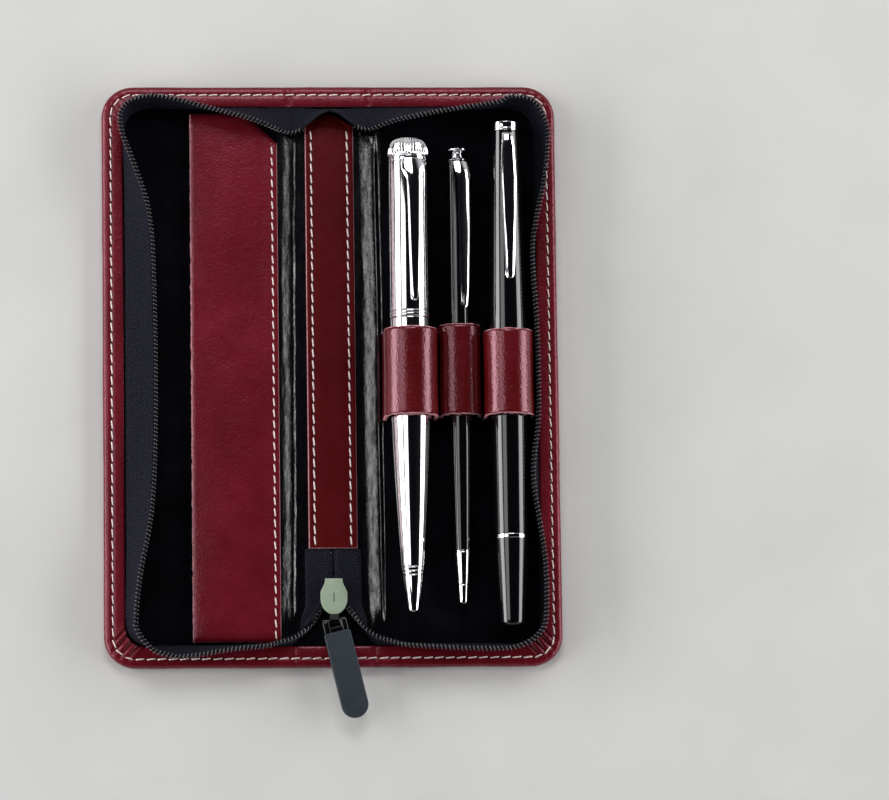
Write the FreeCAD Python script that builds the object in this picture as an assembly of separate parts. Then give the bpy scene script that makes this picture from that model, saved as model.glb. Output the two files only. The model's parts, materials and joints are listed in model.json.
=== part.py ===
# Zip-round leather pen case, lying open and flat, with three pens in its loops.
# Millimetres. +Z is up, +Y runs along the spine towards the gusset end, +X points to the pens' cover.
# The origin is the middle of the spine's underside.

import FreeCAD, Part
import math
import os

Vec = FreeCAD.Vector

# Case: its length and width follow from the pens that it holds
spine_width = 23.0
corner_radius = 9.0
edge_bevel = 0.7

# Layers of the case, from the underside up
leather = 1.2
board = 1.0
lining = 0.5
border_leather = 1.0

# Turned-in border and the leather that wraps the edge of the board
border_width = 6.0
border_corner_radius = 6.0
edge_wrap = 1.0
board_gap = 0.15
board_setback = 2.5

# Clearance between the pieces on the two sides of a crease
crease_gap = 0.1

# Zip tape and coil
tape = 0.6
tape_seat = 0.55
closing_gap = 0.3
tape_step = 3.2
tape_from_crease = 3.5
crease_clearance = 1.4
tooth_pitch = 1.5
tooth_length = 1.2
tooth_width = 1.9
tooth_height = 0.85
tooth_seat = 0.05
coil_above_border = 0.6

# Lean of the tape towards the inside: share of the straight run, degrees
left_top_lean = [(0.0, 51.5), (0.1, 38.7), (0.27, 21.6), (0.46, 10.3), (0.65, -2.6), (0.84, -14.2),
                 (1.0, -18.0)]
left_top_corner_lean = -20.0
left_side_lean = [(1.0, -12.3), (0.83, 14.9), (0.65, 44.7), (0.38, 58.1), (-0.14, 62.0),
                  (-0.54, 48.5), (-0.82, 20.9), (-1.0, 12.0)]
left_bottom_corner_lean = 5.0
left_bottom_lean = [(1.0, -16.0), (0.9, -26.5), (0.73, -31.7), (0.35, -17.6), (0.08, -10.3), (0.0, -5.1)]
right_top_lean = [(0.0, 45.7), (0.08, 32.4), (0.27, 20.9), (0.46, 12.3), (0.71, 2.6), (0.92, -5.8),
                  (1.0, -16.0)]
right_top_corner_lean = -26.0
right_side_lean = [(1.0, -30.0), (0.89, -29.0), (0.76, -21.0), (0.62, -5.8), (0.47, 3.2), (0.17, -3.2),
                   (-0.19, -3.2), (-0.44, 7.7), (-0.76, -11.6), (-1.0, -12.0)]
right_bottom_corner_lean = -10.0
right_bottom_lean = [(1.0, -16.0), (0.84, -19.6), (0.57, -18.2), (0.31, -14.9), (0.08, -5.8), (0.0, -1.9)]

# Gusset across the top of the spine: distance in from the crease, degrees, and those at its apex
gusset_lean = [(2.5, 49.4), (3.5, 43.8), (5.2, 30.9), (7.7, 20.9)]
gusset_apex_lean = 10.3
gusset_clearance = 0.9

# Leather strip down the spine
strip_leather = 1.2
strip_width = 13.9
strip_end_gap = 0.65
strip_point = 4.0
strip_bevel = 0.3

# Pocket panel on the left cover
panel_leather = 1.2
panel_from_crease = 3.4
panel_width = 25.0
panel_flat = 3.0
panel_lift = 1.1
panel_end_gap = 1.2
panel_corner_x = 9.0
panel_corner_y = 8.5

# Tail of the zip on the spine: its length, then distances down from its top
tail_length = 26.55
tail_width = 16.0
tail_tape = 0.6
tail_lift = 0.8
tail_seam = 2.8
tail_waist_drop = 15.7
tail_spread_drop = 20.7
coil_mouth_drop = 19.5
coil_drop = 1.3
strip_tail_gap = 0.2
slit_half_width = 0.15
tail_coil_height = 0.9
tail_tooth_width = 1.5

# Zip slider
slider_drop = 9.1
slider_length = 10.0
slider_width = 7.6
slider_neck = 5.2
slider_plate = 0.7
slider_gap = 0.12
slider_post_width = 1.7
slider_post_length = 2.2
slider_flange = 0.6
slider_travel = 4.0
bridge_pin_radius = 0.55
bridge_pin_height = 1.35
bridge_eye_radius = 1.0
bridge_width = 2.6
bridge_reach = 2.05

# Pull: forked link on the slider's pin, and the tab moulded on it
pull_turn = 13.5
link_play = 0.08
link_side_play = 0.4
link_thickness = 1.5
link_width = 6.6
link_fork = 1.5
link_length = 4.6
link_tongue_width = 3.4
tab_width = 7.7
tab_length = 25.0
tab_thickness = 2.0
tab_start = 2.9
tab_shoulder = 0.5
tab_bevel = 0.4
pull_droop = 3.5

# Pen loops: one band of leather that makes three tunnels
loop_leather = 1.2
loop_length = 26.0
loop_centre = -0.4
loop_play = 0.3
loop_foot = 0.28
loop_gap = 0.15
loop_from_crease = 2.97
loop_wall_gap = 0.1

# Play of the pens on the lining and in the loops, and of the parts that turn or slide in them
pen_seat = 0.25
turning_play = 0.08

# Chrome ballpoint: room above and below it in the case, its length, places from its top, radii
chrome_room_above = 9.65
chrome_room_below = 7.85
chrome_length = 136.2
chrome_radius = 5.75
chrome_side_play = 0.7
chrome_tip_radius = 1.55
crown_length = 7.0
crown_radius = 5.9
crown_flutes = 14
flute_depth = 0.1
chrome_ring_drop = 51.3
chrome_ring_width = 1.9
chrome_ring_radius = 5.9
chrome_cone_length = 12.6
chrome_cone_radius = 3.45
chrome_taper_length = 20.0
chrome_taper_radius = 4.75

# Slim ballpoint
slim_room_above = 12.25
slim_room_below = 10.45
slim_length = 131.0
slim_radius = 3.2
slim_side_play = 1.5
slim_tip_radius = 1.3
finial_radius = 2.9
finial_thickness = 1.5
finial_neck = 0.8
finial_ring_width = 1.1
slim_joint_drop = 51.0
slim_cone_length = 15.0
slim_cone_radius = 2.5
slim_taper_length = 30.0

# Capped pen
capped_room_above = 4.85
capped_room_below = 3.25
capped_length = 145.6
capped_radius = 5.65
capped_side_play = 0.25
cap_top_radius = 3.9
cap_ring_width = 2.7
cap_length = 70.0
capped_barrel_radius = 5.4
tail_cap_length = 26.2
barrel_ring_width = 1.2
barrel_ring_radius = 4.85
barrel_ring_rise = 0.08
tail_end_radius = 3.65

# Twist mechanism of the ballpoints
refill_radius = 1.25
refill_point_radius = 0.55
refill_point_length = 3.4
refill_recess = 0.2
refill_back = 8.0
refill_throw = 2.4
nose_bore_play = 0.12

# Clips: drop from the pen's top, length, width at the top and at the end, turn about the pen
chrome_clip = {"drop": 9.0, "length": 38.9, "wide": 4.2, "narrow": 2.5, "turn": 9.0}
slim_clip = {"drop": 3.8, "length": 42.7, "wide": 3.8, "narrow": 2.2, "turn": 22.0}
capped_clip = {"drop": 3.6, "length": 42.8, "wide": 3.6, "narrow": 2.0, "turn": 4.0}
clip_thickness = 0.8
clip_rise = 0.7
clip_foot = 3.2
clip_shoulder = 5.1
clip_crown = 1.0
clip_toe = 4.0
clip_toe_flat = 1.6

# Heights that follow from the layers
hinge_x = spine_width / 2
hinge_z = leather
board_top = leather + board
lining_top = board_top + lining
border_top = board_top + border_leather
mid_plane = hinge_z + hinge_x
tape_width = mid_plane - closing_gap / 2 - tooth_height - tooth_seat - lining_top
tail_tape_bottom = lining_top + tail_lift
tail_tape_top = tail_tape_bottom + tail_tape

# Loops side by side from the crease to the zip wall, which sets the width of a cover
chrome_widest = max(crown_radius, chrome_ring_radius)
chrome_loop_half_width = chrome_radius + chrome_side_play
slim_loop_half_width = slim_radius + slim_side_play
capped_loop_half_width = capped_radius + capped_side_play
chrome_loop_reach = chrome_loop_half_width + loop_leather + loop_foot
slim_loop_reach = slim_loop_half_width + loop_leather + loop_foot
capped_loop_reach = capped_loop_half_width + loop_leather + loop_foot
chrome_x = hinge_x + loop_from_crease + chrome_loop_reach
slim_x = chrome_x + chrome_loop_reach + loop_gap + slim_loop_reach
capped_x = slim_x + slim_loop_reach + loop_gap + capped_loop_reach
wall_half_width = capped_x + capped_loop_reach + loop_wall_gap
inner_half_width = wall_half_width + tape + tape_seat
half_width = inner_half_width + border_width

# Pens end to end with their room, which sets the length of the case
wall_half_length = max(chrome_room_above + chrome_length + chrome_room_below,
                       slim_room_above + slim_length + slim_room_below,
                       capped_room_above + capped_length + capped_room_below) / 2
inner_half_length = wall_half_length + tape + tape_seat
half_length = inner_half_length + border_width
chrome_top = wall_half_length - chrome_room_above
chrome_tip = chrome_top - chrome_length
slim_top = wall_half_length - slim_room_above
slim_tip = slim_top - slim_length
capped_top = wall_half_length - capped_room_above
capped_tail_end = capped_top - capped_length
barrel_bore = refill_radius + nose_bore_play

# Places on the spine and on the left cover
tail_top = tail_length - wall_half_length
tail_waist = tail_top - tail_waist_drop
tail_spread = tail_top - tail_spread_drop
coil_mouth = tail_top - coil_mouth_drop
joined_coil_top = tail_top - coil_drop
strip_bottom = tail_top + strip_tail_gap
strip_apex = wall_half_length - strip_end_gap
strip_shoulder = strip_apex - strip_point
panel_seam = -hinge_x - panel_from_crease
panel_mouth = panel_seam - panel_width

# Slider and pull
slider_top = tail_top - slider_drop
slider_bottom = slider_top - slider_length
slider_roof = tail_tape_top + tail_coil_height + slider_gap
slot_half_width = slider_post_width / 2 + slider_gap
slot_top = slider_bottom + slider_post_length + slider_travel + slider_gap
pin_y = slider_bottom - bridge_reach
pin_z = slider_roof + bridge_pin_height
fork_gap = bridge_width + 2 * link_side_play

# Longer than anything in the model, for cuts that go right through
far = 4 * half_length


def save(name, shape):
    """Write one sub-part to its file."""
    shape.exportStep("parts/" + name + ".step")


def wire(points):
    """Closed wire of straight edges."""
    return Part.makePolygon([Vec(*p) for p in points] + [Vec(*points[0])])


def prism(points, direction):
    """Solid swept from a flat outline."""
    return Part.Face(wire(points)).extrude(Vec(*direction))


def box(x0, x1, y0, y1, z0, z1):
    """Box between two corners."""
    return Part.makeBox(x1 - x0, y1 - y0, z1 - z0, Vec(x0, y0, z0))


def upright_edges(shape):
    """Edges that run along Z."""
    found = []
    for edge in shape.Edges:
        if len(edge.Vertexes) == 2:
            run = edge.Vertexes[1].Point - edge.Vertexes[0].Point
            if abs(run.x) + abs(run.y) < 1e-6 and abs(run.z) > 1e-6:
                found.append(edge)
    return found


def rounded_plate(half_x, half_y, radius, z0, z1):
    """Plate with four rounded corners, centred on the origin."""
    plate = box(-half_x, half_x, -half_y, half_y, z0, z1)
    return plate.makeFillet(radius, upright_edges(plate))


def edges_at(shape, z):
    """Edges that lie wholly at one height."""
    return [e for e in shape.Edges if abs(e.BoundBox.ZMin - z) < 1e-6 and abs(e.BoundBox.ZMax - z) < 1e-6]


def cover_region(side):
    """Space that a cover may fill: it slopes away from the crease, so the case can fold shut."""
    near = hinge_x + crease_gap / 2
    outline = [
        (side * near, -far, -leather),
        (side * far, -far, -leather),
        (side * far, -far, far),
        (side * (near + far - hinge_z), -far, far),
        (side * near, -far, hinge_z),
    ]
    return prism(outline, (0, 2 * far, 0))


def spine_region():
    """Space that the spine may fill between the two creases."""
    near = hinge_x - crease_gap / 2
    outline = [
        (-near, -far, -leather),
        (near, -far, -leather),
        (near, -far, hinge_z),
        (0, -far, hinge_z + near),
        (-near, -far, hinge_z),
    ]
    return prism(outline, (0, 2 * far, 0))


regions = {"right": cover_region(1), "left": cover_region(-1), "spine": spine_region()}


def solid_of(shape):
    """The single solid of a result."""
    return shape.Solids[0] if len(shape.Solids) == 1 else Part.makeCompound(shape.Solids)


# Outer leather: a plate whose edge wraps up round the boards
def outer_leather():
    plate = rounded_plate(half_width, half_length, corner_radius, 0, board_top)
    plate = plate.makeChamfer(edge_bevel, edges_at(plate, 0))
    hollow = rounded_plate(half_width - edge_wrap, half_length - edge_wrap, corner_radius - edge_wrap,
                           leather, board_top + 1)
    return plate.cut(hollow)


# Border: the leather turned in over the boards, with its outer edge rounded
def border_frame():
    frame = rounded_plate(half_width, half_length, corner_radius, board_top, border_top)
    frame = frame.makeChamfer(edge_bevel, edges_at(frame, border_top))
    window = rounded_plate(inner_half_width, inner_half_length, border_corner_radius,
                           board_top - 1, border_top + 1)
    return frame.cut(window)


# Lining: fills the window of the border
def lining_sheet():
    return rounded_plate(inner_half_width, inner_half_length, border_corner_radius, board_top, lining_top)


# Boards: stiffeners under the lining, set back from the creases so the leather can bend
def stiffener(side):
    board_half_x = half_width - edge_wrap - board_gap
    board_half_y = half_length - edge_wrap - board_gap
    sheet = rounded_plate(board_half_x, board_half_y, corner_radius - edge_wrap - board_gap,
                          leather, board_top)
    if side == "spine":
        keep = box(-hinge_x + board_setback, hinge_x - board_setback, -far, far, 0, far)
    elif side == "right":
        keep = box(hinge_x + board_setback, far, -far, far, 0, far)
    else:
        keep = box(-far, -hinge_x - board_setback, -far, far, 0, far)
    return sheet.common(keep)


def build_case_layers():
    leather_plate = outer_leather()
    frame = border_frame()
    sheet = lining_sheet()
    for side in ("right", "left", "spine"):
        suffix = "spine" if side == "spine" else side + "_cover"
        save(suffix + "_leather", solid_of(leather_plate.common(regions[side])))
        save(suffix + "_board", solid_of(stiffener(side)))
        save(suffix + "_lining", solid_of(sheet.common(regions[side])))
        border = frame.common(regions[side])
        if side == "spine":
            top = border.common(box(-far, far, 0, far, -far, far))
            bottom = border.common(box(-far, far, -far, 0, -far, far))
            save("spine_top_border", solid_of(top))
            save("spine_bottom_border", solid_of(bottom))
        else:
            save(suffix + "_border", solid_of(border))


# Zip tape: a wall of woven tape that stands on the lining and leans as its stations say
def wall_stations(side, top, top_corner, along, bottom_corner, bottom):
    """Foot, inward direction and lean of the tape at each station round a cover."""
    start_x = hinge_x + tape_from_crease
    arc_x = wall_half_width - border_corner_radius
    arc_y = wall_half_length - border_corner_radius
    half = math.cos(math.pi / 4)
    diagonal = border_corner_radius * half
    stations = []
    for share, lean in top:
        x = start_x + share * (arc_x - start_x)
        stations.append((Vec(side * x, wall_half_length, lining_top), Vec(0, -1, 0), lean))
    stations.append((Vec(side * (arc_x + diagonal), arc_y + diagonal, lining_top),
                     Vec(-side * half, -half, 0), top_corner))
    for share, lean in along:
        stations.append((Vec(side * wall_half_width, share * arc_y, lining_top), Vec(-side, 0, 0), lean))
    stations.append((Vec(side * (arc_x + diagonal), -arc_y - diagonal, lining_top),
                     Vec(-side * half, half, 0), bottom_corner))
    for share, lean in bottom:
        x = start_x + share * (arc_x - start_x)
        stations.append((Vec(side * x, -wall_half_length, lining_top), Vec(0, 1, 0), lean))
    return stations


def free_height(x, lean, clearance):
    """Rise of the tape's free edge: its own width, or less beside a crease."""
    natural = tape_width * math.cos(math.radians(lean))
    from_crease = abs(abs(x) - hinge_x) - clearance - (lining_top - hinge_z)
    return min(natural, from_crease)


def spline(points, parameters):
    curve = Part.BSplineCurve()
    curve.interpolate(Points=points, Parameters=parameters)
    return curve


def tape_section(foot, inward, lean, clearance):
    """Corners of the tape's cross-section: foot inside and outside, free edge outside and inside."""
    rise = free_height(foot.x, lean, clearance)
    inset = tape_width * math.sin(math.radians(lean))
    run = inward * inset + Vec(0, 0, rise)
    outward = (inward * (-rise) + Vec(0, 0, inset)) * (tape / run.Length)
    foot_outside = foot + outward
    foot_outside.z = max(foot_outside.z, lining_top)
    return [foot, foot_outside, foot + run + outward, foot + run]


def tape_wall(stations, clearance):
    """Tape as a solid lofted through rings along its stations, with the rings' corners."""
    sections = [tape_section(*station, clearance) for station in stations]
    parameters = [0.0]
    for before, after in zip(sections, sections[1:]):
        parameters.append(parameters[-1] + (after[0] - before[0]).Length)
    corners = [spline([section[number] for section in sections], parameters) for number in range(4)]
    count = max(8, round(parameters[-1] / tape_step))
    rings = []
    for number in range(count + 1):
        place = parameters[-1] * number / count
        rings.append([corner.value(place) for corner in corners])
    wires = [Part.makePolygon(ring + ring[:1]) for ring in rings]
    return Part.makeLoft(wires, True, True), rings


def coil_tooth(place, along, up, width, height):
    """One turn of the coil: a ridge that lies across the tape's free edge."""
    along.normalize()
    across = along.cross(up).normalize()
    ridge = across.cross(along) * height
    start = place - across * (width / 2)
    section = [start - along * (tooth_length / 2), start + along * (tooth_length / 2), start + ridge]
    return Part.Face(Part.makePolygon(section + section[:1])).extrude(across * width)


def coil_on(rings):
    """Row of teeth at an even pitch along a tape's free edge, where that stands clear of the border."""
    teeth = []
    distance = tooth_pitch / 2
    for before, after in zip(rings, rings[1:]):
        start = (before[2] + before[3]) * 0.5
        run = (after[2] + after[3]) * 0.5 - start
        up = (start - before[0]).normalize()
        while distance < run.Length:
            place = start + run * (distance / run.Length) + up * tooth_seat
            if place.z > border_top + coil_above_border:
                teeth.append(coil_tooth(place, Vec(run), up, tooth_width, tooth_height))
            distance += tooth_pitch
        distance -= run.Length
    return Part.makeCompound(teeth)


def build_zip_walls():
    left = wall_stations(-1, left_top_lean, left_top_corner_lean, left_side_lean,
                         left_bottom_corner_lean, left_bottom_lean)
    right = wall_stations(1, right_top_lean, right_top_corner_lean, right_side_lean,
                          right_bottom_corner_lean, right_bottom_lean)
    for name, stations in (("left", left), ("right", right)):
        wall, rings = tape_wall(stations, crease_clearance)
        save(name + "_zip_tape", wall)
        save(name + "_zip_coil", coil_on(rings))


# Gusset: tape without teeth that bridges the covers over the top of the spine
def build_gusset():
    left = [(inset - hinge_x, lean) for inset, lean in gusset_lean]
    right = [(-x, lean) for x, lean in reversed(left)]
    places = left + [(0, gusset_apex_lean)] + right
    stations = [(Vec(x, wall_half_length, lining_top), Vec(0, -1, 0), lean) for x, lean in places]
    save("top_gusset", tape_wall(stations, gusset_clearance)[0])


# Leather strip down the spine, pointed at its top
def build_spine_strip():
    half = strip_width / 2
    outline = [(-half, strip_bottom, lining_top), (half, strip_bottom, lining_top),
               (half, strip_shoulder, lining_top), (0, strip_apex, lining_top),
               (-half, strip_shoulder, lining_top)]
    strip = prism(outline, (0, 0, strip_leather))
    save("spine_strip", strip.makeChamfer(strip_bevel, edges_at(strip, lining_top + strip_leather)))


# Pocket panel: sewn along its inner edge, open towards the zip, cut away under the tape's top end
def build_pocket_panel():
    end = wall_half_length - panel_end_gap
    flat_end = panel_seam - panel_flat
    middle = (panel_mouth + flat_end) / 2
    low = lining_top
    lifted = low + panel_lift
    mouth_lift = low + panel_lift / 2
    bow = [Vec(panel_mouth, -end, mouth_lift), Vec(middle, -end, lifted), Vec(flat_end, -end, low)]
    rising = Vec(1, 0, panel_lift / (middle - panel_mouth))
    under = Part.BSplineCurve()
    under.interpolate(Points=bow, InitialTangent=rising, FinalTangent=Vec(1, 0, 0))
    over = under.copy()
    over.translate(Vec(0, 0, panel_leather))
    thickness = Vec(0, 0, panel_leather)
    seam_low = Vec(panel_seam, -end, low)
    flat_low = Vec(flat_end, -end, low)
    mouth_low = Vec(panel_mouth, -end, mouth_lift)
    section = Part.Wire([
        under.toShape(),
        Part.makeLine(flat_low, seam_low),
        Part.makeLine(seam_low, seam_low + thickness),
        Part.makeLine(seam_low + thickness, flat_low + thickness),
        over.toShape(),
        Part.makeLine(mouth_low + thickness, mouth_low),
    ])
    corner = [(panel_seam, end, 0), (panel_seam, end - panel_corner_y, 0),
              (panel_seam - panel_corner_x, end, 0)]
    panel = Part.Face(section).extrude(Vec(0, 2 * end, 0)).cut(prism(corner, (0, 0, far)))
    save("pocket_panel", solid_of(panel))


# Zip tail: the joined end of the zip, laid on the spine and spread towards both creases
def tail_half(side):
    half = tail_width / 2
    edge = hinge_x - crease_gap / 2 - (tail_tape_top - hinge_z)
    foot = -wall_half_length
    outline = [
        (side * slit_half_width, tail_top, tail_tape_bottom),
        (side * half, tail_top, tail_tape_bottom),
        (side * half, tail_waist, tail_tape_bottom),
        (side * edge, tail_spread, tail_tape_bottom),
        (side * edge, foot, tail_tape_bottom),
        (side * slot_half_width, coil_mouth, tail_tape_bottom),
        (side * slot_half_width, slot_top, tail_tape_bottom),
        (side * slit_half_width, slot_top + slot_half_width, tail_tape_bottom),
    ]
    flat = prism(outline, (0, 0, tail_tape))
    seam = [
        (side * slit_half_width, tail_top, lining_top),
        (side * half, tail_top, lining_top),
        (side * half, tail_top - tail_seam, lining_top),
        (side * slit_half_width, tail_top - tail_seam, lining_top),
    ]
    return flat.fuse(prism(seam, (0, 0, tail_lift))).removeSplitter()


def tail_coil_row(side):
    """Teeth from the joined end, under the slider and out towards the crease."""
    half_tooth = tail_tooth_width / 2
    joined = slit_half_width + half_tooth
    parted = slot_half_width + half_tooth
    end = hinge_x - crease_gap / 2 - (tail_tape_top + tail_coil_height - hinge_z) - half_tooth
    slope = (wall_half_length + coil_mouth) / (hinge_x - slot_half_width)
    z = tail_tape_top
    start_y = coil_mouth + half_tooth
    route = [
        Vec(side * joined, joined_coil_top, z),
        Vec(side * joined, slot_top + tooth_pitch, z),
        Vec(side * parted, slot_top, z),
        Vec(side * parted, start_y, z),
        Vec(side * end, start_y - (end - parted) * slope, z),
    ]
    teeth = []
    distance = tooth_pitch / 2
    for start, finish in zip(route, route[1:]):
        run = finish - start
        direction = Vec(run).normalize()
        while distance < run.Length:
            teeth.append(coil_tooth(start + direction * distance, Vec(direction), Vec(0, 0, 1),
                                    tail_tooth_width, tail_coil_height))
            distance += tooth_pitch
        distance -= run.Length
    return teeth


def build_zip_tail():
    save("zip_tail_tape", Part.makeCompound([tail_half(-1), tail_half(1)]))
    save("zip_tail_coil", Part.makeCompound(tail_coil_row(-1) + tail_coil_row(1)))


# Slider: two plates joined by a post between the rows, with flanges that guide the coil
def slider_outline(z):
    """Shield shape: a narrow flat top, full width below it and a round lower end."""
    neck = slider_neck / 2
    wide = slider_width / 2
    shoulder = slider_bottom + wide
    high = slider_top - slider_length * 0.36
    collar = slider_top - slider_length * 0.12
    points = [Vec(-neck, slider_top, z), Vec(-neck, collar, z), Vec(-wide, high, z),
              Vec(-wide, shoulder, z), Vec(0, slider_bottom, z), Vec(wide, shoulder, z),
              Vec(wide, high, z), Vec(neck, collar, z), Vec(neck, slider_top, z)]
    edges = [Part.makeLine(points[n], points[n + 1]) for n in (0, 1, 2, 5, 6, 7)]
    edges.insert(3, Part.Arc(points[3], points[4], points[5]).toShape())
    edges.append(Part.makeLine(points[8], points[0]))
    return Part.Wire(edges)


def crosswise(radius, length):
    """Cylinder along the pull's pin, centred on the zip."""
    return Part.makeCylinder(radius, length, Vec(-length / 2, pin_y, pin_z), Vec(1, 0, 0))


def slider_lug():
    """Lug that carries the pull's pin past the slider's round end."""
    low_x = -bridge_width / 2
    root = slider_bottom + slider_length * 0.25
    web = [
        (low_x, root, slider_roof),
        (low_x, root, slider_roof + slider_plate),
        (low_x, pin_y, pin_z + bridge_eye_radius),
        (low_x, pin_y, pin_z - bridge_eye_radius),
        (low_x, slider_bottom + slider_plate, slider_roof),
    ]
    return prism(web, (bridge_width, 0, 0)).fuse(crosswise(bridge_eye_radius, bridge_width))


def build_slider():
    under_low = lining_top + slider_gap
    under_high = tail_tape_bottom - slider_gap
    shield = Part.Face(slider_outline(under_low)).extrude(Vec(0, 0, slider_roof + slider_plate - under_low))
    under = shield.common(box(-far, far, -far, far, under_low, under_high))
    roof = shield.common(box(-far, far, -far, far, slider_roof, slider_roof + slider_plate))
    half_post = slider_post_width / 2
    post = shield.common(box(-half_post, half_post, slider_bottom, slider_bottom + slider_post_length,
                             under_low, slider_roof + slider_plate))
    flange_low = tail_tape_top + slider_gap
    inside = slider_width / 2 - slider_flange
    flange_start = slider_bottom + slider_length * 0.3
    flanges = shield.common(box(-far, far, flange_start, slider_top, flange_low, slider_roof))
    flanges = flanges.cut(box(-inside, inside, -far, far, 0, far))
    body = roof.fuse([under, post, flanges, slider_lug(), crosswise(bridge_pin_radius, link_width)])
    body = body.removeSplitter()
    save("slider_body", solid_of(body))


# Pull: a forked link on the slider's pin, and the tab moulded over its tongue
def flat_bar(width, y0, y1, height):
    """Bar centred on the pin in width and height."""
    return box(-width / 2, width / 2, y0, y1, pin_z - height / 2, pin_z + height / 2)


def link_blank():
    """Fork with rounded ends and a tongue."""
    fork = flat_bar(link_width, pin_y - tab_start, pin_y, link_thickness)
    eyes = crosswise(link_thickness / 2, link_width)
    tongue = flat_bar(link_tongue_width, pin_y - link_length, pin_y - tab_start, link_thickness / 2)
    gap = flat_bar(fork_gap, pin_y - link_fork, pin_y + link_thickness, far)
    return fork.fuse([eyes, tongue]).cut(gap)


def tab_blank():
    """Tab with a narrowed head and a round end."""
    half = tab_width / 2
    head_y = pin_y - tab_start
    end_y = head_y - tab_length
    low = pin_z - tab_thickness / 2
    neck_y = head_y - tab_shoulder
    neck = half - tab_shoulder
    corners = [Vec(-half, neck_y, low), Vec(-half, end_y + half, low), Vec(0, end_y, low),
               Vec(half, end_y + half, low), Vec(half, neck_y, low), Vec(neck, head_y, low),
               Vec(-neck, head_y, low)]
    outline = Part.Wire([
        Part.makeLine(corners[0], corners[1]),
        Part.Arc(corners[1], corners[2], corners[3]).toShape(),
        Part.makeLine(corners[3], corners[4]),
        Part.makeLine(corners[4], corners[5]),
        Part.makeLine(corners[5], corners[6]),
        Part.makeLine(corners[6], corners[0]),
    ])
    tab = Part.Face(outline).extrude(Vec(0, 0, tab_thickness))
    return tab.makeChamfer(tab_bevel, edges_at(tab, low) + edges_at(tab, low + tab_thickness))


def build_pull():
    link = link_blank()
    tab = tab_blank().cut(link)
    pivot = Vec(0, pin_y, pin_z)
    for shape in (link, tab):
        shape.rotate(pivot, Vec(1, 0, 0), pull_droop)
        shape.rotate(pivot, Vec(0, 0, 1), pull_turn)
    hole = crosswise(bridge_pin_radius + link_play, 2 * link_width)
    save("pull_link", solid_of(link.cut(hole)))
    save("pull_tab", solid_of(tab))


# Pen loops: an arch of leather over each pen, with its feet sewn to the lining
def build_loop(name, x, radius, half_width):
    axis_z = lining_top + pen_seat + radius
    crown_z = axis_z + radius + loop_play
    y0 = loop_centre - loop_length / 2
    inner = half_width
    outer = half_width + loop_leather
    foot = outer + loop_foot
    low = lining_top
    foot_top = low + loop_leather

    def arch(half, top):
        return Part.Arc(Vec(x - half, y0, axis_z), Vec(x, y0, top), Vec(x + half, y0, axis_z)).toShape()

    outline = [
        Part.makeLine(Vec(x - inner, y0, low), Vec(x - inner, y0, axis_z)),
        arch(inner, crown_z),
        Part.makeLine(Vec(x + inner, y0, axis_z), Vec(x + inner, y0, low)),
        Part.makeLine(Vec(x + inner, y0, low), Vec(x + foot, y0, low)),
        Part.makeLine(Vec(x + foot, y0, low), Vec(x + outer, y0, foot_top)),
        Part.makeLine(Vec(x + outer, y0, foot_top), Vec(x + outer, y0, axis_z)),
        arch(outer, crown_z + loop_leather),
        Part.makeLine(Vec(x - outer, y0, axis_z), Vec(x - outer, y0, foot_top)),
        Part.makeLine(Vec(x - outer, y0, foot_top), Vec(x - foot, y0, low)),
        Part.makeLine(Vec(x - foot, y0, low), Vec(x - inner, y0, low)),
    ]
    save(name, Part.Face(Part.Wire(outline)).extrude(Vec(0, loop_length, 0)))


# Pens: turned parts about an axis along Y
def turned(x, z, outer, bore=None):
    """Solid turned from (place along Y, radius) points, with an optional bore radius."""
    points = [(r, y) for y, r in outer]
    inner = bore if bore else 0.0
    start, end = points[0], points[-1]
    edges = []
    for (r0, y0), (r1, y1) in zip(points, points[1:]):
        edges.append(Part.makeLine(Vec(r0, y0, 0), Vec(r1, y1, 0)))
    edges.append(Part.makeLine(Vec(end[0], end[1], 0), Vec(inner, end[1], 0)))
    edges.append(Part.makeLine(Vec(inner, end[1], 0), Vec(inner, start[1], 0)))
    edges.append(Part.makeLine(Vec(inner, start[1], 0), Vec(start[0], start[1], 0)))
    shape = Part.Face(Part.Wire(edges)).revolve(Vec(0, 0, 0), Vec(0, 1, 0), 360)
    shape.translate(Vec(x, 0, z))
    return shape


def pen_axis(radius):
    return lining_top + pen_seat + radius


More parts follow.
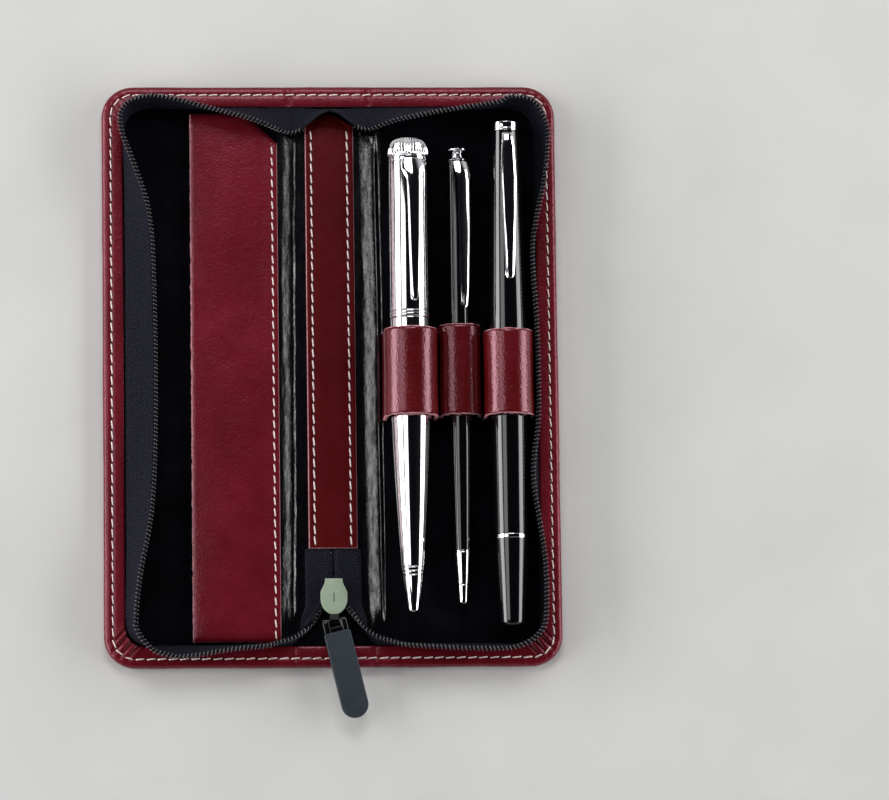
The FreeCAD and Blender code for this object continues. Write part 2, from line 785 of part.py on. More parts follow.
def make_clip(sizes, x, axis_z, pen_top, radius_top, radius_end, barrel):
    """Sprung clip: its foot sits on the barrel, its blade lies along it and tapers to a round end."""
    top = pen_top - sizes["drop"]
    end = top - sizes["length"]
    wide, narrow = sizes["wide"] / 2, sizes["narrow"] / 2
    top_low = radius_top + clip_rise
    end_low = radius_end + clip_rise
    round_y = end + narrow
    plan = Part.Wire([
        Part.makeLine(Vec(-wide, top, 0), Vec(-wide, top - clip_shoulder, 0)),
        Part.makeLine(Vec(-wide, top - clip_shoulder, 0), Vec(-narrow, round_y, 0)),
        Part.Arc(Vec(-narrow, round_y, 0), Vec(0, end, 0), Vec(narrow, round_y, 0)).toShape(),
        Part.makeLine(Vec(narrow, round_y, 0), Vec(wide, top - clip_shoulder, 0)),
        Part.makeLine(Vec(wide, top - clip_shoulder, 0), Vec(wide, top, 0)),
        Part.makeLine(Vec(wide, top, 0), Vec(-wide, top, 0)),
    ])
    blank = Part.Face(plan).extrude(Vec(0, 0, far))
    dip = clip_rise * 0.7
    side = [(top, 0), (top, top_low + clip_thickness * 0.4), (top - clip_crown, top_low + clip_thickness),
            (end + clip_toe, end_low + clip_thickness), (end, end_low + clip_thickness - dip),
            (end, end_low - dip), (end + clip_toe_flat, end_low - dip), (end + clip_toe, end_low),
            (top - clip_foot, top_low), (top - clip_foot, 0)]
    profile = prism([(-far, y, z) for y, z in side], (2 * far, 0, 0))
    clip = blank.common(profile)
    clip.rotate(Vec(0, 0, 0), Vec(0, 1, 0), sizes["turn"])
    clip.translate(Vec(x, 0, axis_z))
    return solid_of(clip.cut(barrel))


def build_refill(name, x, axis_z, tip):
    """Refill: a straight tube with a fine point that the twist drives out of the nose."""
    point_end = tip + refill_recess
    shoulder = point_end + refill_point_length
    save(name, turned(x, axis_z, [(point_end, refill_point_radius), (shoulder, refill_point_radius),
                                  (shoulder, refill_radius), (refill_back, refill_radius)]))


def nose_cone(x, axis_z, tip, length, base_radius, tip_radius):
    """Nose cone with a fine hole for the point and a wider bore behind it."""
    hole = refill_point_radius + nose_bore_play
    cone = turned(x, axis_z, [(tip, tip_radius), (tip + length, base_radius)], hole)
    step_y = tip + refill_recess + refill_point_length - refill_throw - nose_bore_play
    return cone.cut(Part.makeCylinder(barrel_bore, far, Vec(x, step_y, axis_z), Vec(0, 1, 0)))


def fluted_crown(x, z, low):
    """Domed crown whose upper part is cut into flutes by a star-shaped outline."""
    shoulder = low + crown_length * 0.55
    dome = turned(x, z, [(low, crown_radius), (shoulder, crown_radius),
                         (chrome_top - 0.5, crown_radius * 0.68), (chrome_top, crown_radius * 0.5)])
    star = []
    for number in range(2 * crown_flutes):
        angle = math.pi * number / crown_flutes
        reach = crown_radius * (1.02 if number % 2 == 0 else 1.0 - flute_depth)
        star.append((x + reach * math.cos(angle), low, z + reach * math.sin(angle)))
    return dome.common(prism(star, (0, crown_length, 0)))


def build_chrome_pen():
    x = chrome_x
    z = pen_axis(chrome_widest)
    crown_low = chrome_top - crown_length
    ring_high = chrome_top - chrome_ring_drop + chrome_ring_width / 2
    ring_low = ring_high - chrome_ring_width
    cone_top = chrome_tip + chrome_cone_length
    loop_low = loop_centre - loop_length / 2
    save("chrome_pen_crown", solid_of(fluted_crown(x, z, crown_low)))
    upper = turned(x, z, [(ring_high, chrome_radius), (crown_low, chrome_radius)])
    save("chrome_pen_upper_barrel", upper)
    save("chrome_pen_clip", make_clip(chrome_clip, x, z, chrome_top, chrome_radius, chrome_radius, upper))
    save("chrome_pen_ring", turned(x, z, [(ring_low, chrome_ring_radius), (ring_high, chrome_ring_radius)]))
    taper = [(cone_top, chrome_cone_radius), (cone_top + chrome_taper_length, chrome_taper_radius),
             (loop_low, chrome_radius), (ring_low - turning_play, chrome_radius)]
    save("chrome_pen_lower_barrel", turned(x, z, taper, barrel_bore))
    nose = nose_cone(x, z, chrome_tip, chrome_cone_length, chrome_cone_radius, chrome_tip_radius)
    save("chrome_pen_nose", nose)
    build_refill("chrome_pen_refill", x, z, chrome_tip)


def build_slim_pen():
    x = slim_x
    z = pen_axis(slim_radius)
    joint_y = slim_top - slim_joint_drop
    disc_low = slim_top - finial_thickness
    neck_low = disc_low - finial_neck
    ring_low = neck_low - finial_ring_width
    cone_top = slim_tip + slim_cone_length
    save("slim_pen_finial", turned(x, z, [(neck_low, finial_radius * 0.6), (disc_low, finial_radius * 0.6),
                                          (disc_low, finial_radius), (slim_top, finial_radius)]))
    save("slim_pen_finial_ring", turned(x, z, [(ring_low, slim_radius), (neck_low, slim_radius)]))
    upper = turned(x, z, [(joint_y, slim_radius), (ring_low, slim_radius)])
    save("slim_pen_upper_barrel", upper)
    save("slim_pen_clip", make_clip(slim_clip, x, z, slim_top, slim_radius, slim_radius, upper))
    taper = [(cone_top, slim_cone_radius), (cone_top + slim_taper_length, slim_radius),
             (joint_y - turning_play, slim_radius)]
    save("slim_pen_lower_barrel", turned(x, z, taper, barrel_bore))
    save("slim_pen_nose", nose_cone(x, z, slim_tip, slim_cone_length, slim_cone_radius, slim_tip_radius))
    build_refill("slim_pen_refill", x, z, slim_tip)


def build_capped_pen():
    x = capped_x
    z = pen_axis(capped_radius)
    cap_mouth = capped_top - cap_length
    cap_ring_low = capped_top - cap_ring_width
    barrel_ring_place = capped_tail_end + tail_cap_length
    barrel_ring_low = barrel_ring_place - barrel_ring_width
    save("capped_pen_ring", turned(x, z, [(cap_ring_low, cap_top_radius), (capped_top, cap_top_radius)]))
    cap = turned(x, z, [(cap_mouth, capped_radius), (cap_ring_low, cap_top_radius)])
    save("capped_pen_cap", cap)
    narrowing = (capped_radius - cap_top_radius) / (cap_ring_low - cap_mouth)
    clip_end_y = capped_top - capped_clip["drop"] - capped_clip["length"]
    radius_at_end = capped_radius - narrowing * (clip_end_y - cap_mouth)
    save("capped_pen_clip", make_clip(capped_clip, x, z, capped_top, cap_top_radius, radius_at_end, cap))
    save("capped_pen_barrel", turned(x, z, [(barrel_ring_place, barrel_ring_radius),
                                            (cap_mouth, capped_barrel_radius)]))
    proud = barrel_ring_radius + barrel_ring_rise
    save("capped_pen_barrel_ring", turned(x, z, [(barrel_ring_low, proud), (barrel_ring_place, proud)]))
    save("capped_pen_tail", turned(x, z, [(capped_tail_end, tail_end_radius * 0.6),
                                          (capped_tail_end + 1.0, tail_end_radius),
                                          (barrel_ring_low, barrel_ring_radius)]))


def build_loops():
    build_loop("pen_loop_1", chrome_x, chrome_widest, chrome_loop_half_width)
    build_loop("pen_loop_2", slim_x, slim_radius, slim_loop_half_width)
    build_loop("pen_loop_3", capped_x, capped_radius, capped_loop_half_width)


os.makedirs("parts", exist_ok=True)
build_case_layers()
build_zip_walls()
build_gusset()
build_spine_strip()
build_pocket_panel()
build_zip_tail()
build_slider()
build_pull()
build_loops()
build_chrome_pen()
build_slim_pen()
build_capped_pen()
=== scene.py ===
import json
import math
import random
from contextlib import contextmanager
from functools import partial

import bmesh
import bpy
from mathutils import Matrix, Vector, noise


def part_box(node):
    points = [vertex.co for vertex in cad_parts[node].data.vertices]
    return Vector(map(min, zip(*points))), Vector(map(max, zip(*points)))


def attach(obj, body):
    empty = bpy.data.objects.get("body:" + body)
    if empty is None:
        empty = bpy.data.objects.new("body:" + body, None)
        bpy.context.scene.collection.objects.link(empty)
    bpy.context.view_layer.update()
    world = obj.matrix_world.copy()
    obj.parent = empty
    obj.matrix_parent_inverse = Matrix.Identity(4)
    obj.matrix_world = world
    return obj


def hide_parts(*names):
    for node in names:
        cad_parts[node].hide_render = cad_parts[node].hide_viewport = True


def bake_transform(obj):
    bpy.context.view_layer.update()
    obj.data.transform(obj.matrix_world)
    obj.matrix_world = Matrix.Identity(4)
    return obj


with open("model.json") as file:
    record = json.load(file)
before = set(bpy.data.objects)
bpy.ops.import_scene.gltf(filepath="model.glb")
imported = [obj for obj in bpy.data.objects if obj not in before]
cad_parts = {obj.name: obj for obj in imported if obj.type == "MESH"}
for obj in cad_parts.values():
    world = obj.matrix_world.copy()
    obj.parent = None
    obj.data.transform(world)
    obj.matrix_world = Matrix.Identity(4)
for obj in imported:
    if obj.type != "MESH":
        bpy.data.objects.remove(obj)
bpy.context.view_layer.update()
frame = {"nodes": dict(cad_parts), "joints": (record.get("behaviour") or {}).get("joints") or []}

# Sizes below are in millimetres; meshes are made in metres
MM = 0.001
JOINTS = {joint["name"]: joint for joint in frame["joints"]}
SIDES = (("left", -1), ("right", 1))
UP = Vector((0, 0, 1))
DOWN = Vector((0, 0, -1))


def box_mm(node):
    low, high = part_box(node)
    return low / MM, high / MM


# Case sizes read from the frame
HALF_WIDTH, HALF_LENGTH = box_mm("right_cover_leather")[1].xy
WINDOW_X, WINDOW_Y, LINING_TOP = box_mm("right_cover_lining")[1]
BORDER_TOP = box_mm("right_cover_border")[1].z
BORDER = HALF_WIDTH - WINDOW_X
CREASE = JOINTS["spine_fold"]["pos_m"][0] / MM
CORNER = 9.0
WINDOW_CORNER = 6.0
OVER_LINING = LINING_TOP + 0.02

# Stitches
STITCH_SEAM = 1.5
PANEL_DROP = 1.2
STRIP_STITCH = 1.8
STITCH_INSET = 2.6
STITCH_PITCH = 3.15
STITCH_LENGTH = 2.35
STITCH_TILT = 7.0
THREAD_RADIUS = 0.21
# Each needle hole is drawn as a dark disc: painted shade in the hole
HOLE_RADIUS = 0.24
HOLE_SIDES = 8


# Shader nodes
def add_node(tree, kind, links=(), **values):
    """Node with attributes or input values set, and links of (output socket, input name)."""
    node = tree.nodes.new(kind)
    for key, value in values.items():
        if hasattr(node, key):
            setattr(node, key, value)
        else:
            node.inputs[key.replace("_", " ")].default_value = value
    for source, name in links:
        tree.links.new(source, node.inputs[name])
    return node


def ramp(tree, source, stops):
    """Colour ramp from (position, colour) stops."""
    node = add_node(tree, "ShaderNodeValToRGB", [(source, "Fac")])
    elements = node.color_ramp.elements
    while len(elements) < len(stops):
        elements.new(0.5)
    for element, (position, colour) in zip(elements, stops):
        element.position = position
        element.color = (*colour, 1)
    return node.outputs["Color"]


class Look:
    """Material with one Principled shader and the textures that drive it."""

    def __init__(self, name, colour, roughness, **sockets):
        self.material = bpy.data.materials.new(name)
        self.material.use_nodes = True
        self.tree = self.material.node_tree
        self.inputs = self.tree.nodes["Principled BSDF"].inputs
        self.place = None
        sockets.update(Base_Color=(*colour, 1), Roughness=roughness)
        for socket, value in sockets.items():
            self.inputs[socket.replace("_", " ")].default_value = value

    def stretch(self, scale=(1, 1, 1), source="Object"):
        """Texture place of what follows, stretched by scale."""
        where = add_node(self.tree, "ShaderNodeTexCoord")
        mapping = add_node(self.tree, "ShaderNodeMapping", [(where.outputs[source], "Vector")], Scale=scale)
        self.place = mapping.outputs[0]
        return self.place

    def texture(self, kind, **values):
        place = self.place or self.stretch()
        node = add_node(self.tree, "ShaderNodeTex" + kind, [(place, "Vector")], **values)
        return node.outputs["Distance" if kind == "Voronoi" else "Fac"]

    def noise(self, scale, detail, **values):
        return self.texture("Noise", Scale=scale, Detail=detail, **values)

    def wave(self, direction, scale):
        return self.texture("Wave", bands_direction=direction, Scale=scale)

    def shade(self, source, *stops):
        """Colour from a ramp of (position, colour) stops."""
        self.tree.links.new(ramp(self.tree, source, stops), self.inputs["Base Color"])

    def vary(self, socket, source, low, high, **span):
        """Let a texture move a socket's value between low and high."""
        span.update(To_Min=low, To_Max=high)
        spread = add_node(self.tree, "ShaderNodeMapRange", [(source, "Value")], **span)
        self.tree.links.new(spread.outputs[0], self.inputs[socket])

    def bump(self, *layers):
        """Chain of bumps from (height, strength, distance in mm) layers."""
        below = []
        for height, strength, distance in layers:
            node = add_node(self.tree, "ShaderNodeBump", [(height, "Height")] + below,
                            Strength=strength, Distance=distance * MM)
            below = [(node.outputs["Normal"], "Normal")]
        self.tree.links.new(node.outputs["Normal"], self.inputs["Normal"])


# Materials
INK = (0.002, 0.002, 0.003)


def leather(name, dark, mid, light, roughness=0.27, grain_depth=0.7, gloss=0.55):
    """Burgundy leather: mottled colour, pebble grain, pores and faint creases."""
    look = Look(name, mid, roughness, Specular_IOR_Level=gloss, Specular_Tint=(1.0, 0.55, 0.66, 1.0))
    look.shade(look.noise(45, 6, Roughness=0.65), (0.30, dark), (0.52, mid), (0.78, light))
    grain = look.texture("Voronoi", feature="SMOOTH_F1", Scale=1700, Smoothness=0.6)
    pores = look.noise(3600, 3)
    folds = look.noise(260, 5, Distortion=0.6)
    look.bump((folds, 0.45 * grain_depth, 0.25), (grain, 0.55 * grain_depth, 0.14),
              (pores, 0.35 * grain_depth, 0.06))
    look.vary("Roughness", folds, roughness - 0.06, roughness + 0.06)
    return look.material


def raw_edge():
    """Cut edge of the leather: pale pink fibres of uneven tone, darker where they sink, which is painted
    shade between the fibres.
    """
    look = Look("raw_leather_edge", (0.42, 0.13, 0.15), 0.75)
    fibre_tone_and_shade = look.noise(1500, 5, Roughness=0.7)
    # The same noise lowers the bump and darkens the colour: painted shade between the fibres, over their own
    # uneven pink
    look.shade(fibre_tone_and_shade, (0.3, (0.30, 0.08, 0.10)), (0.55, (0.58, 0.26, 0.29)), (0.8, (0.78, 0.52, 0.54)))
    look.bump((fibre_tone_and_shade, 0.6, 0.12))
    return look.material


def gloss_lining():
    """Thin glossy black leather beside the spine strip, with upright wrinkles and streaks."""
    look = Look("gloss_lining", INK, 0.15, Specular_IOR_Level=1.0)
    upright = look.stretch((1.0, 0.22, 1.0))
    wrinkle = look.noise(420, 5, Distortion=0.8)
    look.stretch()
    grain = look.texture("Voronoi", Scale=1700)
    pebble = look.noise(700, 5, Roughness=0.75)
    look.bump((wrinkle, 0.4, 0.16), (grain, 0.5, 0.05), (pebble, 0.5, 0.10))
    look.vary("Roughness", pebble, 0.10, 0.20)
    look.place = upright
    streak = look.noise(900, 7, Roughness=0.75)
    look.vary("Specular IOR Level", streak, 0.2, 1.6, From_Min=0.36, From_Max=0.64)
    return look.material


def suede_lining():
    """Matt black nap of the lining, blue-black where it catches light."""
    look = Look("suede_lining", INK, 0.95, Sheen_Weight=0.01, Sheen_Roughness=0.4, Specular_IOR_Level=0.03)
    nap = look.noise(1300, 6, Roughness=0.75)
    patch = look.noise(90, 3)
    look.shade(patch, (0.35, (0.0012, 0.0012, 0.0018)), (0.7, (0.0034, 0.0034, 0.006)))
    look.bump((patch, 0.3, 0.4), (nap, 0.5, 0.1))
    return look.material


def woven_tape():
    """Navy-black zip tape: twill ribs and cross threads in the tape's own directions."""
    look = Look("woven_tape", (0.005, 0.005, 0.010), 0.7, Sheen_Weight=0.01, Sheen_Roughness=0.5,
                Specular_IOR_Level=0.12)
    look.stretch(source="UV")
    rib = look.wave("X", 0.55)
    cross = look.wave("Y", 0.42)
    twill = look.wave("DIAGONAL", 0.35)
    look.shade(look.noise(2.2, 4), (0.42, (0.0012, 0.0012, 0.003)), (0.62, (0.013, 0.014, 0.028)))
    look.bump((rib, 0.8, 0.14), (cross, 0.6, 0.1), (twill, 0.3, 0.06))
    return look.material


def coil_nylon():
    """Black nylon of the coil: satin, with a slight streak."""
    look = Look("coil_nylon", (0.018, 0.018, 0.022), 0.16, Specular_IOR_Level=0.9)
    streak = look.noise(900, 2)
    look.vary("Roughness", streak, 0.14, 0.26)
    look.bump((streak, 0.15, 0.03))
    return look.material


def twisted_thread():
    """Cream waxed thread twisted along each stitch, with painted shade in the grooves between its plies and
    painted highlight on their ridges.
    """
    look = Look("twisted_thread", (0.85, 0.70, 0.67), 0.5)
    look.stretch(source="UV")
    ply_relief_and_shade = look.wave("DIAGONAL", 0.6)
    # The ramp darkens the grooves and lightens the ridges of the wave that also makes the bump: painted shade
    # and highlight
    look.shade(ply_relief_and_shade, (0.2, (0.78, 0.62, 0.60)), (0.7, (0.95, 0.86, 0.84)))
    look.bump((ply_relief_and_shade, 0.7, 0.1))
    return look.material


def polished(name, colour, roughness, brushed=0.0):
    """Bright metal with hairline polish marks along the pen."""
    look = Look(name, colour, roughness, Metallic=1.0)
    look.stretch((1.0, 0.05, 1.0))
    hair = look.noise(6000, 2)
    look.vary("Roughness", hair, roughness * 0.7, roughness * 1.4 + brushed)
    look.bump((hair, 0.04 + brushed, 0.01))
    return look.material


def lacquer(name, roughness=0.09, gloss=0.5):
    """Glossy black lacquer with a trace of orange peel and dust."""
    look = Look(name, INK, roughness, Specular_IOR_Level=gloss)
    peel = look.noise(420, 2)
    dust = look.noise(2600, 5)
    look.vary("Roughness", dust, roughness * 0.6, roughness * 1.6)
    look.bump((peel, 0.05, 0.04))
    return look.material


def moulded(name, dark, light, roughness, grain_scale):
    """Moulded or enamelled surface with a fine matt grain."""
    look = Look(name, light, roughness)
    grain = look.noise(grain_scale, 4)
    cloud = look.noise(grain_scale / 12, 3)
    look.shade(cloud, (0.3, dark), (0.7, light))
    look.vary("Roughness", cloud, roughness - 0.08, roughness + 0.08)
    look.bump((grain, 0.3, 0.03))
    return look.material


LEATHER = leather("burgundy_leather", (0.088, 0.0035, 0.0075), (0.122, 0.005, 0.011), (0.165, 0.010, 0.024))
STRIP_LEATHER = leather("strip_leather", (0.058, 0.0022, 0.0028), (0.074, 0.003, 0.0035),
                        (0.088, 0.004, 0.006), roughness=0.24, grain_depth=0.3)
LOOP_LEATHER = leather("loop_leather", (0.062, 0.0022, 0.003), (0.082, 0.003, 0.004), (0.112, 0.006, 0.010),
                       roughness=0.2, gloss=1.0)
# Dark discs at the needle holes: painted shade in the holes, not a colour of the leather
HOLE_SHADE = moulded("hole_painted_shade", (0.010, 0.001, 0.002), (0.020, 0.003, 0.004), 0.8, 1500)
RAW = raw_edge()
GLOSS = gloss_lining()
SUEDE = suede_lining()
TAPE = woven_tape()
COIL = coil_nylon()
THREAD = twisted_thread()
CHROME = polished("polished_chrome", (0.86, 0.86, 0.88), 0.07)
BRASS = polished("brass_refill", (0.72, 0.55, 0.26), 0.22, 0.1)
BLACK = lacquer("black_lacquer", gloss=0.8)
LINK = lacquer("link_gloss_black", 0.16)
SLIDER = moulded("slider_enamel", (0.235, 0.295, 0.215), (0.30, 0.37, 0.28), 0.45, 1400)
# Dark bar over the slider's engraved line: painted shade in its groove
GROOVE_SHADE = moulded("engraved_line_painted_shade", (0.05, 0.06, 0.045), (0.07, 0.08, 0.06), 0.7, 1500)
TAB = moulded("tab_rubber", (0.007, 0.013, 0.020), (0.012, 0.021, 0.032), 0.6, 1800)
CARD = moulded("board_card", (0.30, 0.26, 0.20), (0.42, 0.37, 0.30), 0.85, 900)


# Mesh helpers
CURVE_STEPS = 24


def put_in_scene(name, data):
    made = bpy.data.objects.new(name, data)
    bpy.context.scene.collection.objects.link(made)
    return made


def shade_smooth(mesh):
    mesh.polygons.foreach_set("use_smooth", [True] * len(mesh.polygons))


def mesh_object(name, points, faces, materials, slots=None, uvs=None):
    """Smooth mesh from points in mm, with one material index per face if slots are given."""
    mesh = bpy.data.meshes.new(name)
    mesh.from_pydata([Vector(point) * MM for point in points], [], faces)
    for material in materials:
        mesh.materials.append(material)
    if slots:
        mesh.polygons.foreach_set("material_index", slots)
    shade_smooth(mesh)
    if uvs:
        layer = mesh.uv_layers.new(name="UVMap")
        for loop in mesh.loops:
            layer.data[loop.index].uv = uvs[loop.vertex_index]
    return put_in_scene(name, mesh)


def flat_sheet(name, points, faces, materials, slots):
    """Mesh whose UVs are its places in the plan, with doubled points joined."""
    return tidy_normals(mesh_object(name, points, faces, materials, slots, [(p.x, p.y) for p in points]))


@contextmanager
def editing(made):
    """An object's mesh, open for changes that are written back."""
    work = bmesh.new()
    work.from_mesh(made.data)
    yield work
    work.to_mesh(made.data)
    work.free()


def tidy_normals(made):
    with editing(made) as work:
        bmesh.ops.remove_doubles(work, verts=work.verts, dist=1e-7)
        bmesh.ops.recalc_face_normals(work, faces=work.faces)
    return made


def crisp_edges(made, degrees=40.0):
    """Keep edges sharper than the angle crisp under smooth shading."""
    with editing(made) as work:
        for edge in work.edges:
            edge.smooth = not (edge.is_manifold and edge.calc_face_angle(0.0) > math.radians(degrees))


def grid_faces(rows, columns, wrap=False, first=0):
    """Quads of a grid stored row by row."""
    faces = []
    for row in range(rows - 1):
        here = first + row * columns
        for column in range(columns if wrap else columns - 1):
            after = (column + 1) % columns
            faces.append((here + column, here + after, here + columns + after, here + columns + column))
    return faces


def end_caps(rows, columns):
    """Faces that close both ends of a wrapped grid."""
    return [tuple(range(columns - 1, -1, -1)), tuple(range((rows - 1) * columns, rows * columns))]


def loft(name, rings, *materials, caps=True, slot_of=None):
    """Tube through rings of equal count, with lengths along and round it as UVs in mm."""
    rows, columns = len(rings), len(rings[0])
    faces = grid_faces(rows, columns, wrap=True)
    slots = None
    if slot_of:
        slots = [slot_of(*divmod(number, columns)) for number in range(len(faces))]
        slots += [slot_of(-1, 0), slot_of(rows, 0)]
    if caps:
        faces += end_caps(rows, columns)
    uvs, along = [], 0.0
    for row, ring in enumerate(rings):
        if row:
            along += (ring[0] - rings[row - 1][0]).length
        around = 0.0
        for column, place in enumerate(ring):
            if column:
                around += (place - ring[column - 1]).length
            uvs.append((along, around))
    return mesh_object(name, [place for ring in rings for place in ring], faces, materials, slots, uvs)


def finish_piece(made, body, slot, *nodes):
    """Let a piece ride on a body and hide the CAD nodes that it stands for; its finish (slot) is not used."""
    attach(made, body)
    if nodes:
        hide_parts(*nodes)


def join_meshes(name, parts, material):
    """One mesh from lists of (points, faces, uvs)."""
    points, faces, uvs = [], [], []
    for some_points, some_faces, some_uvs in parts:
        base = len(points)
        points += some_points
        faces += [tuple(base + index for index in face) for face in some_faces]
        uvs += some_uvs
    return mesh_object(name, points, faces, [material], None, uvs)


def smooth_step(low, high, value):
    share = min(1.0, max(0.0, (value - low) / (high - low)))
    return share * share * (3 - 2 * share)


def ripple(x, y, z):
    return noise.noise(Vector((x, y, z)))


def bell(offset, width):
    """Smooth hump that is 1 at no offset and fades out over the width."""
    return math.exp(-(offset / width) ** 2)


def catmull(points):
    """Points of a smooth curve through the given ones."""
    ends = [points[0] * 2 - points[1], *points, points[-1] * 2 - points[-2]]
    curve = []
    for number in range(len(points) - 1):
        a, b, c, d = ends[number:number + 4]
        for step in range(CURVE_STEPS):
            t = step / CURVE_STEPS
            curve.append(((b * 2) + (c - a) * t + (a * 2 - b * 5 + c * 4 - d) * t * t
                          + (b * 3 - a - c * 3 + d) * t ** 3) * 0.5)
    curve.append(points[-1].copy())
    return curve


def even_spots(line, spacing):
    """Span and share of it at even distances along a line."""
    lengths = [0.0]
    for before, after in zip(line, line[1:]):
        lengths.append(lengths[-1] + (after - before).length)
    count = max(2, round(lengths[-1] / spacing))
    spots, span = [], 0
    for number in range(count + 1):
        wanted = lengths[-1] * number / count
        while span < len(line) - 2 and lengths[span + 1] < wanted:
            span += 1
        stretch = max(lengths[span + 1] - lengths[span], 1e-9)
        spots.append((span, min(1.0, (wanted - lengths[span]) / stretch)))
    return spots


def place_on(line, spot):
    span, share = spot
    return line[span].lerp(line[span + 1], share)


def resample(line, spacing):
    """Points at even distances along a line."""
    return [place_on(line, spot) for spot in even_spots(line, spacing)]


def wire_mesh(path, radius, sides):
    """Points, faces and UVs of a round wire along a path."""
    points, uvs = [], []
    side = UP
    along = 0.0
    for number, place in enumerate(path):
        before = path[max(number - 1, 0)]
        after = path[min(number + 1, len(path) - 1)]
        run = (after - before).normalized()
        side = (side - run * side.dot(run)).normalized()
        other = run.cross(side)
        if number:
            along += (place - before).length
        for corner in range(sides):
            angle = 2 * math.pi * corner / sides
            points.append(place + side * (radius * math.cos(angle)) + other * (radius * math.sin(angle)))
            uvs.append((along, corner / sides * 2 * math.pi * radius))
    return points, grid_faces(len(path), sides, True) + end_caps(len(path), sides), uvs


# Rounded outline of the case, from the middle of its top edge round to the middle of its bottom edge
EDGE_STEP = 0.4
ARC_STEPS = 26
SIDE_STEPS = 60
KEPT_X = 30.0
UNDERSIDE_ROWS = 60
LINING_ROWS = 150


def outline_stations():
    """Places along half of the outline: which stretch, and how far along it."""
    straight = HALF_WIDTH - CORNER
    count = round(straight / EDGE_STEP)
    across = [straight * number / count for number in range(count)]
    arc = [number / ARC_STEPS for number in range(ARC_STEPS + 1)]
    down = [1 - 2 * number / SIDE_STEPS for number in range(1, SIDE_STEPS)]
    stretches = {"top": across, "top_arc": arc, "side": down, "bottom_arc": arc, "bottom": across[::-1]}
    return [(stretch, share) for stretch, shares in stretches.items() for share in shares]


STATIONS = outline_stations()


def outline_point(station, inset):
    """Point of the outline moved in by inset, and the direction that points outward."""
    stretch, share = station
    corner = max(CORNER - inset, WINDOW_CORNER)
    centre_x = HALF_WIDTH - inset - corner
    centre_y = HALF_LENGTH - inset - corner
    up = 1 if stretch.startswith("top") else -1
    if stretch in ("top", "bottom"):
        squeeze = (centre_x - KEPT_X) / (HALF_WIDTH - CORNER - KEPT_X)
        x = share if share <= KEPT_X else KEPT_X + (share - KEPT_X) * squeeze
        return Vector((x, up * (HALF_LENGTH - inset), 0)), Vector((0, up, 0))
    if stretch == "side":
        return Vector((HALF_WIDTH - inset, share * centre_y, 0)), Vector((1, 0, 0))
    angle = math.pi / 2 * (1 - share if up > 0 else -share)
    outward = Vector((math.cos(angle), math.sin(angle), 0))
    return Vector((centre_x, up * centre_y, 0)) + outward * corner, outward


def pleat(station, inset):
    """Rise and fall of the gathers where leather is turned in round a corner."""
    stretch, share = station
    if not stretch.endswith("arc"):
        return 0.0
    phase, tall = (0.6, 0.6) if stretch == "top_arc" else (1.0, 1.15)
    ridge = abs(math.sin(share * math.pi * 4.5 + phase + 0.12 * inset))
    depth = 0.25 + 0.75 * smooth_step(2.6, 4.2, inset)
    depth *= smooth_step(0.3, 1.2, inset) * math.sin(math.pi * min(1.0, max(0.0, share))) ** 0.5
    return (ridge ** 0.8 - 0.7) * depth * tall


SKIN_SECTION = [(BORDER, -0.45), (BORDER, 0.0), (BORDER - 0.2, 0.13), (BORDER - 0.7, 0.2), (4.4, 0.22),
                (3.6, 0.2), (3.1, 0.13), (2.85, 0.02), (2.6, -0.08), (2.35, 0.0), (2.0, 0.08), (1.5, 0.06),
                (1.0, -0.06), (0.5, -0.32), (0.15, -0.75), (0.0, -1.35), (0.1, -2.0), (0.4, -2.65),
                (0.9, -3.05), (1.6, -BORDER_TOP), (5.0, -BORDER_TOP), (12.0, -BORDER_TOP)]


def skin_point(station, side, inset, drop):
    point, outward = outline_point(station, inset)
    z = BORDER_TOP + drop
    if drop > -0.5:
        z += pleat(station, inset)
        z += 0.10 * ripple(point.x * 0.13, point.y * 0.13, side * 4.0)
        z -= 0.30 * bell(point.x - CREASE, 0.9) * (inset < BORDER)
    else:
        point += outward * (0.10 * ripple(point.x * 0.1, point.y * 0.1, 7.0) - 0.05)
    return Vector((side * point.x, point.y, z))


def chord_grid(inset, rows, side, height, first=0):
    """Points and faces that fill the outline moved in by inset, in lines along Y."""
    half = [station for station in STATIONS if station[0] in ("top", "top_arc")]
    points = []
    for station in half:
        edge, _ = outline_point(station, inset)
        for row in range(rows + 1):
            y = edge.y * (1 - 2 * row / rows)
            points.append(Vector((side * edge.x, y, height(edge.x, y))))
    return points, grid_faces(len(half), rows + 1, False, first)


def make_skin(name, side):
    """Outer leather of one cover and half of the spine, with the border that is turned in."""
    points = [skin_point(station, side, inset, drop) for station in STATIONS for inset, drop in SKIN_SECTION]
    faces = grid_faces(len(STATIONS), len(SKIN_SECTION))
    slots = [1 if number % (len(SKIN_SECTION) - 1) == 0 else 0 for number in range(len(faces))]
    under, more = chord_grid(SKIN_SECTION[-1][0], UNDERSIDE_ROWS, side, lambda x, y: 0.0, len(points))
    return flat_sheet(name, points + under, faces + more, [LEATHER, RAW], slots + [0] * len(more))


def bend_at_crease(made):
    """Bake the placement of a sheet that crosses a crease into its mesh."""
    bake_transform(made)


def build_skins():
    for name, side in SIDES:
        made = make_skin(name + "_skin", side)
        bend_at_crease(made)
        nodes = [name + "_cover_leather", name + "_cover_border"]
        if side > 0:
            nodes += ["spine_leather", "spine_top_border", "spine_bottom_border"]
        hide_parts(*nodes)


# Lining: glossy gutters beside the strip, nap elsewhere
GUTTER_IN = 6.9
GUTTER_OUT = 14.6
GUTTER_RAMP = {-1: (9.6, 11.2, 14.4), 1: (8.8, 13.4, 14.6)}
RIDGE_HEIGHT = {-1: 0.6, 1: 1.15}


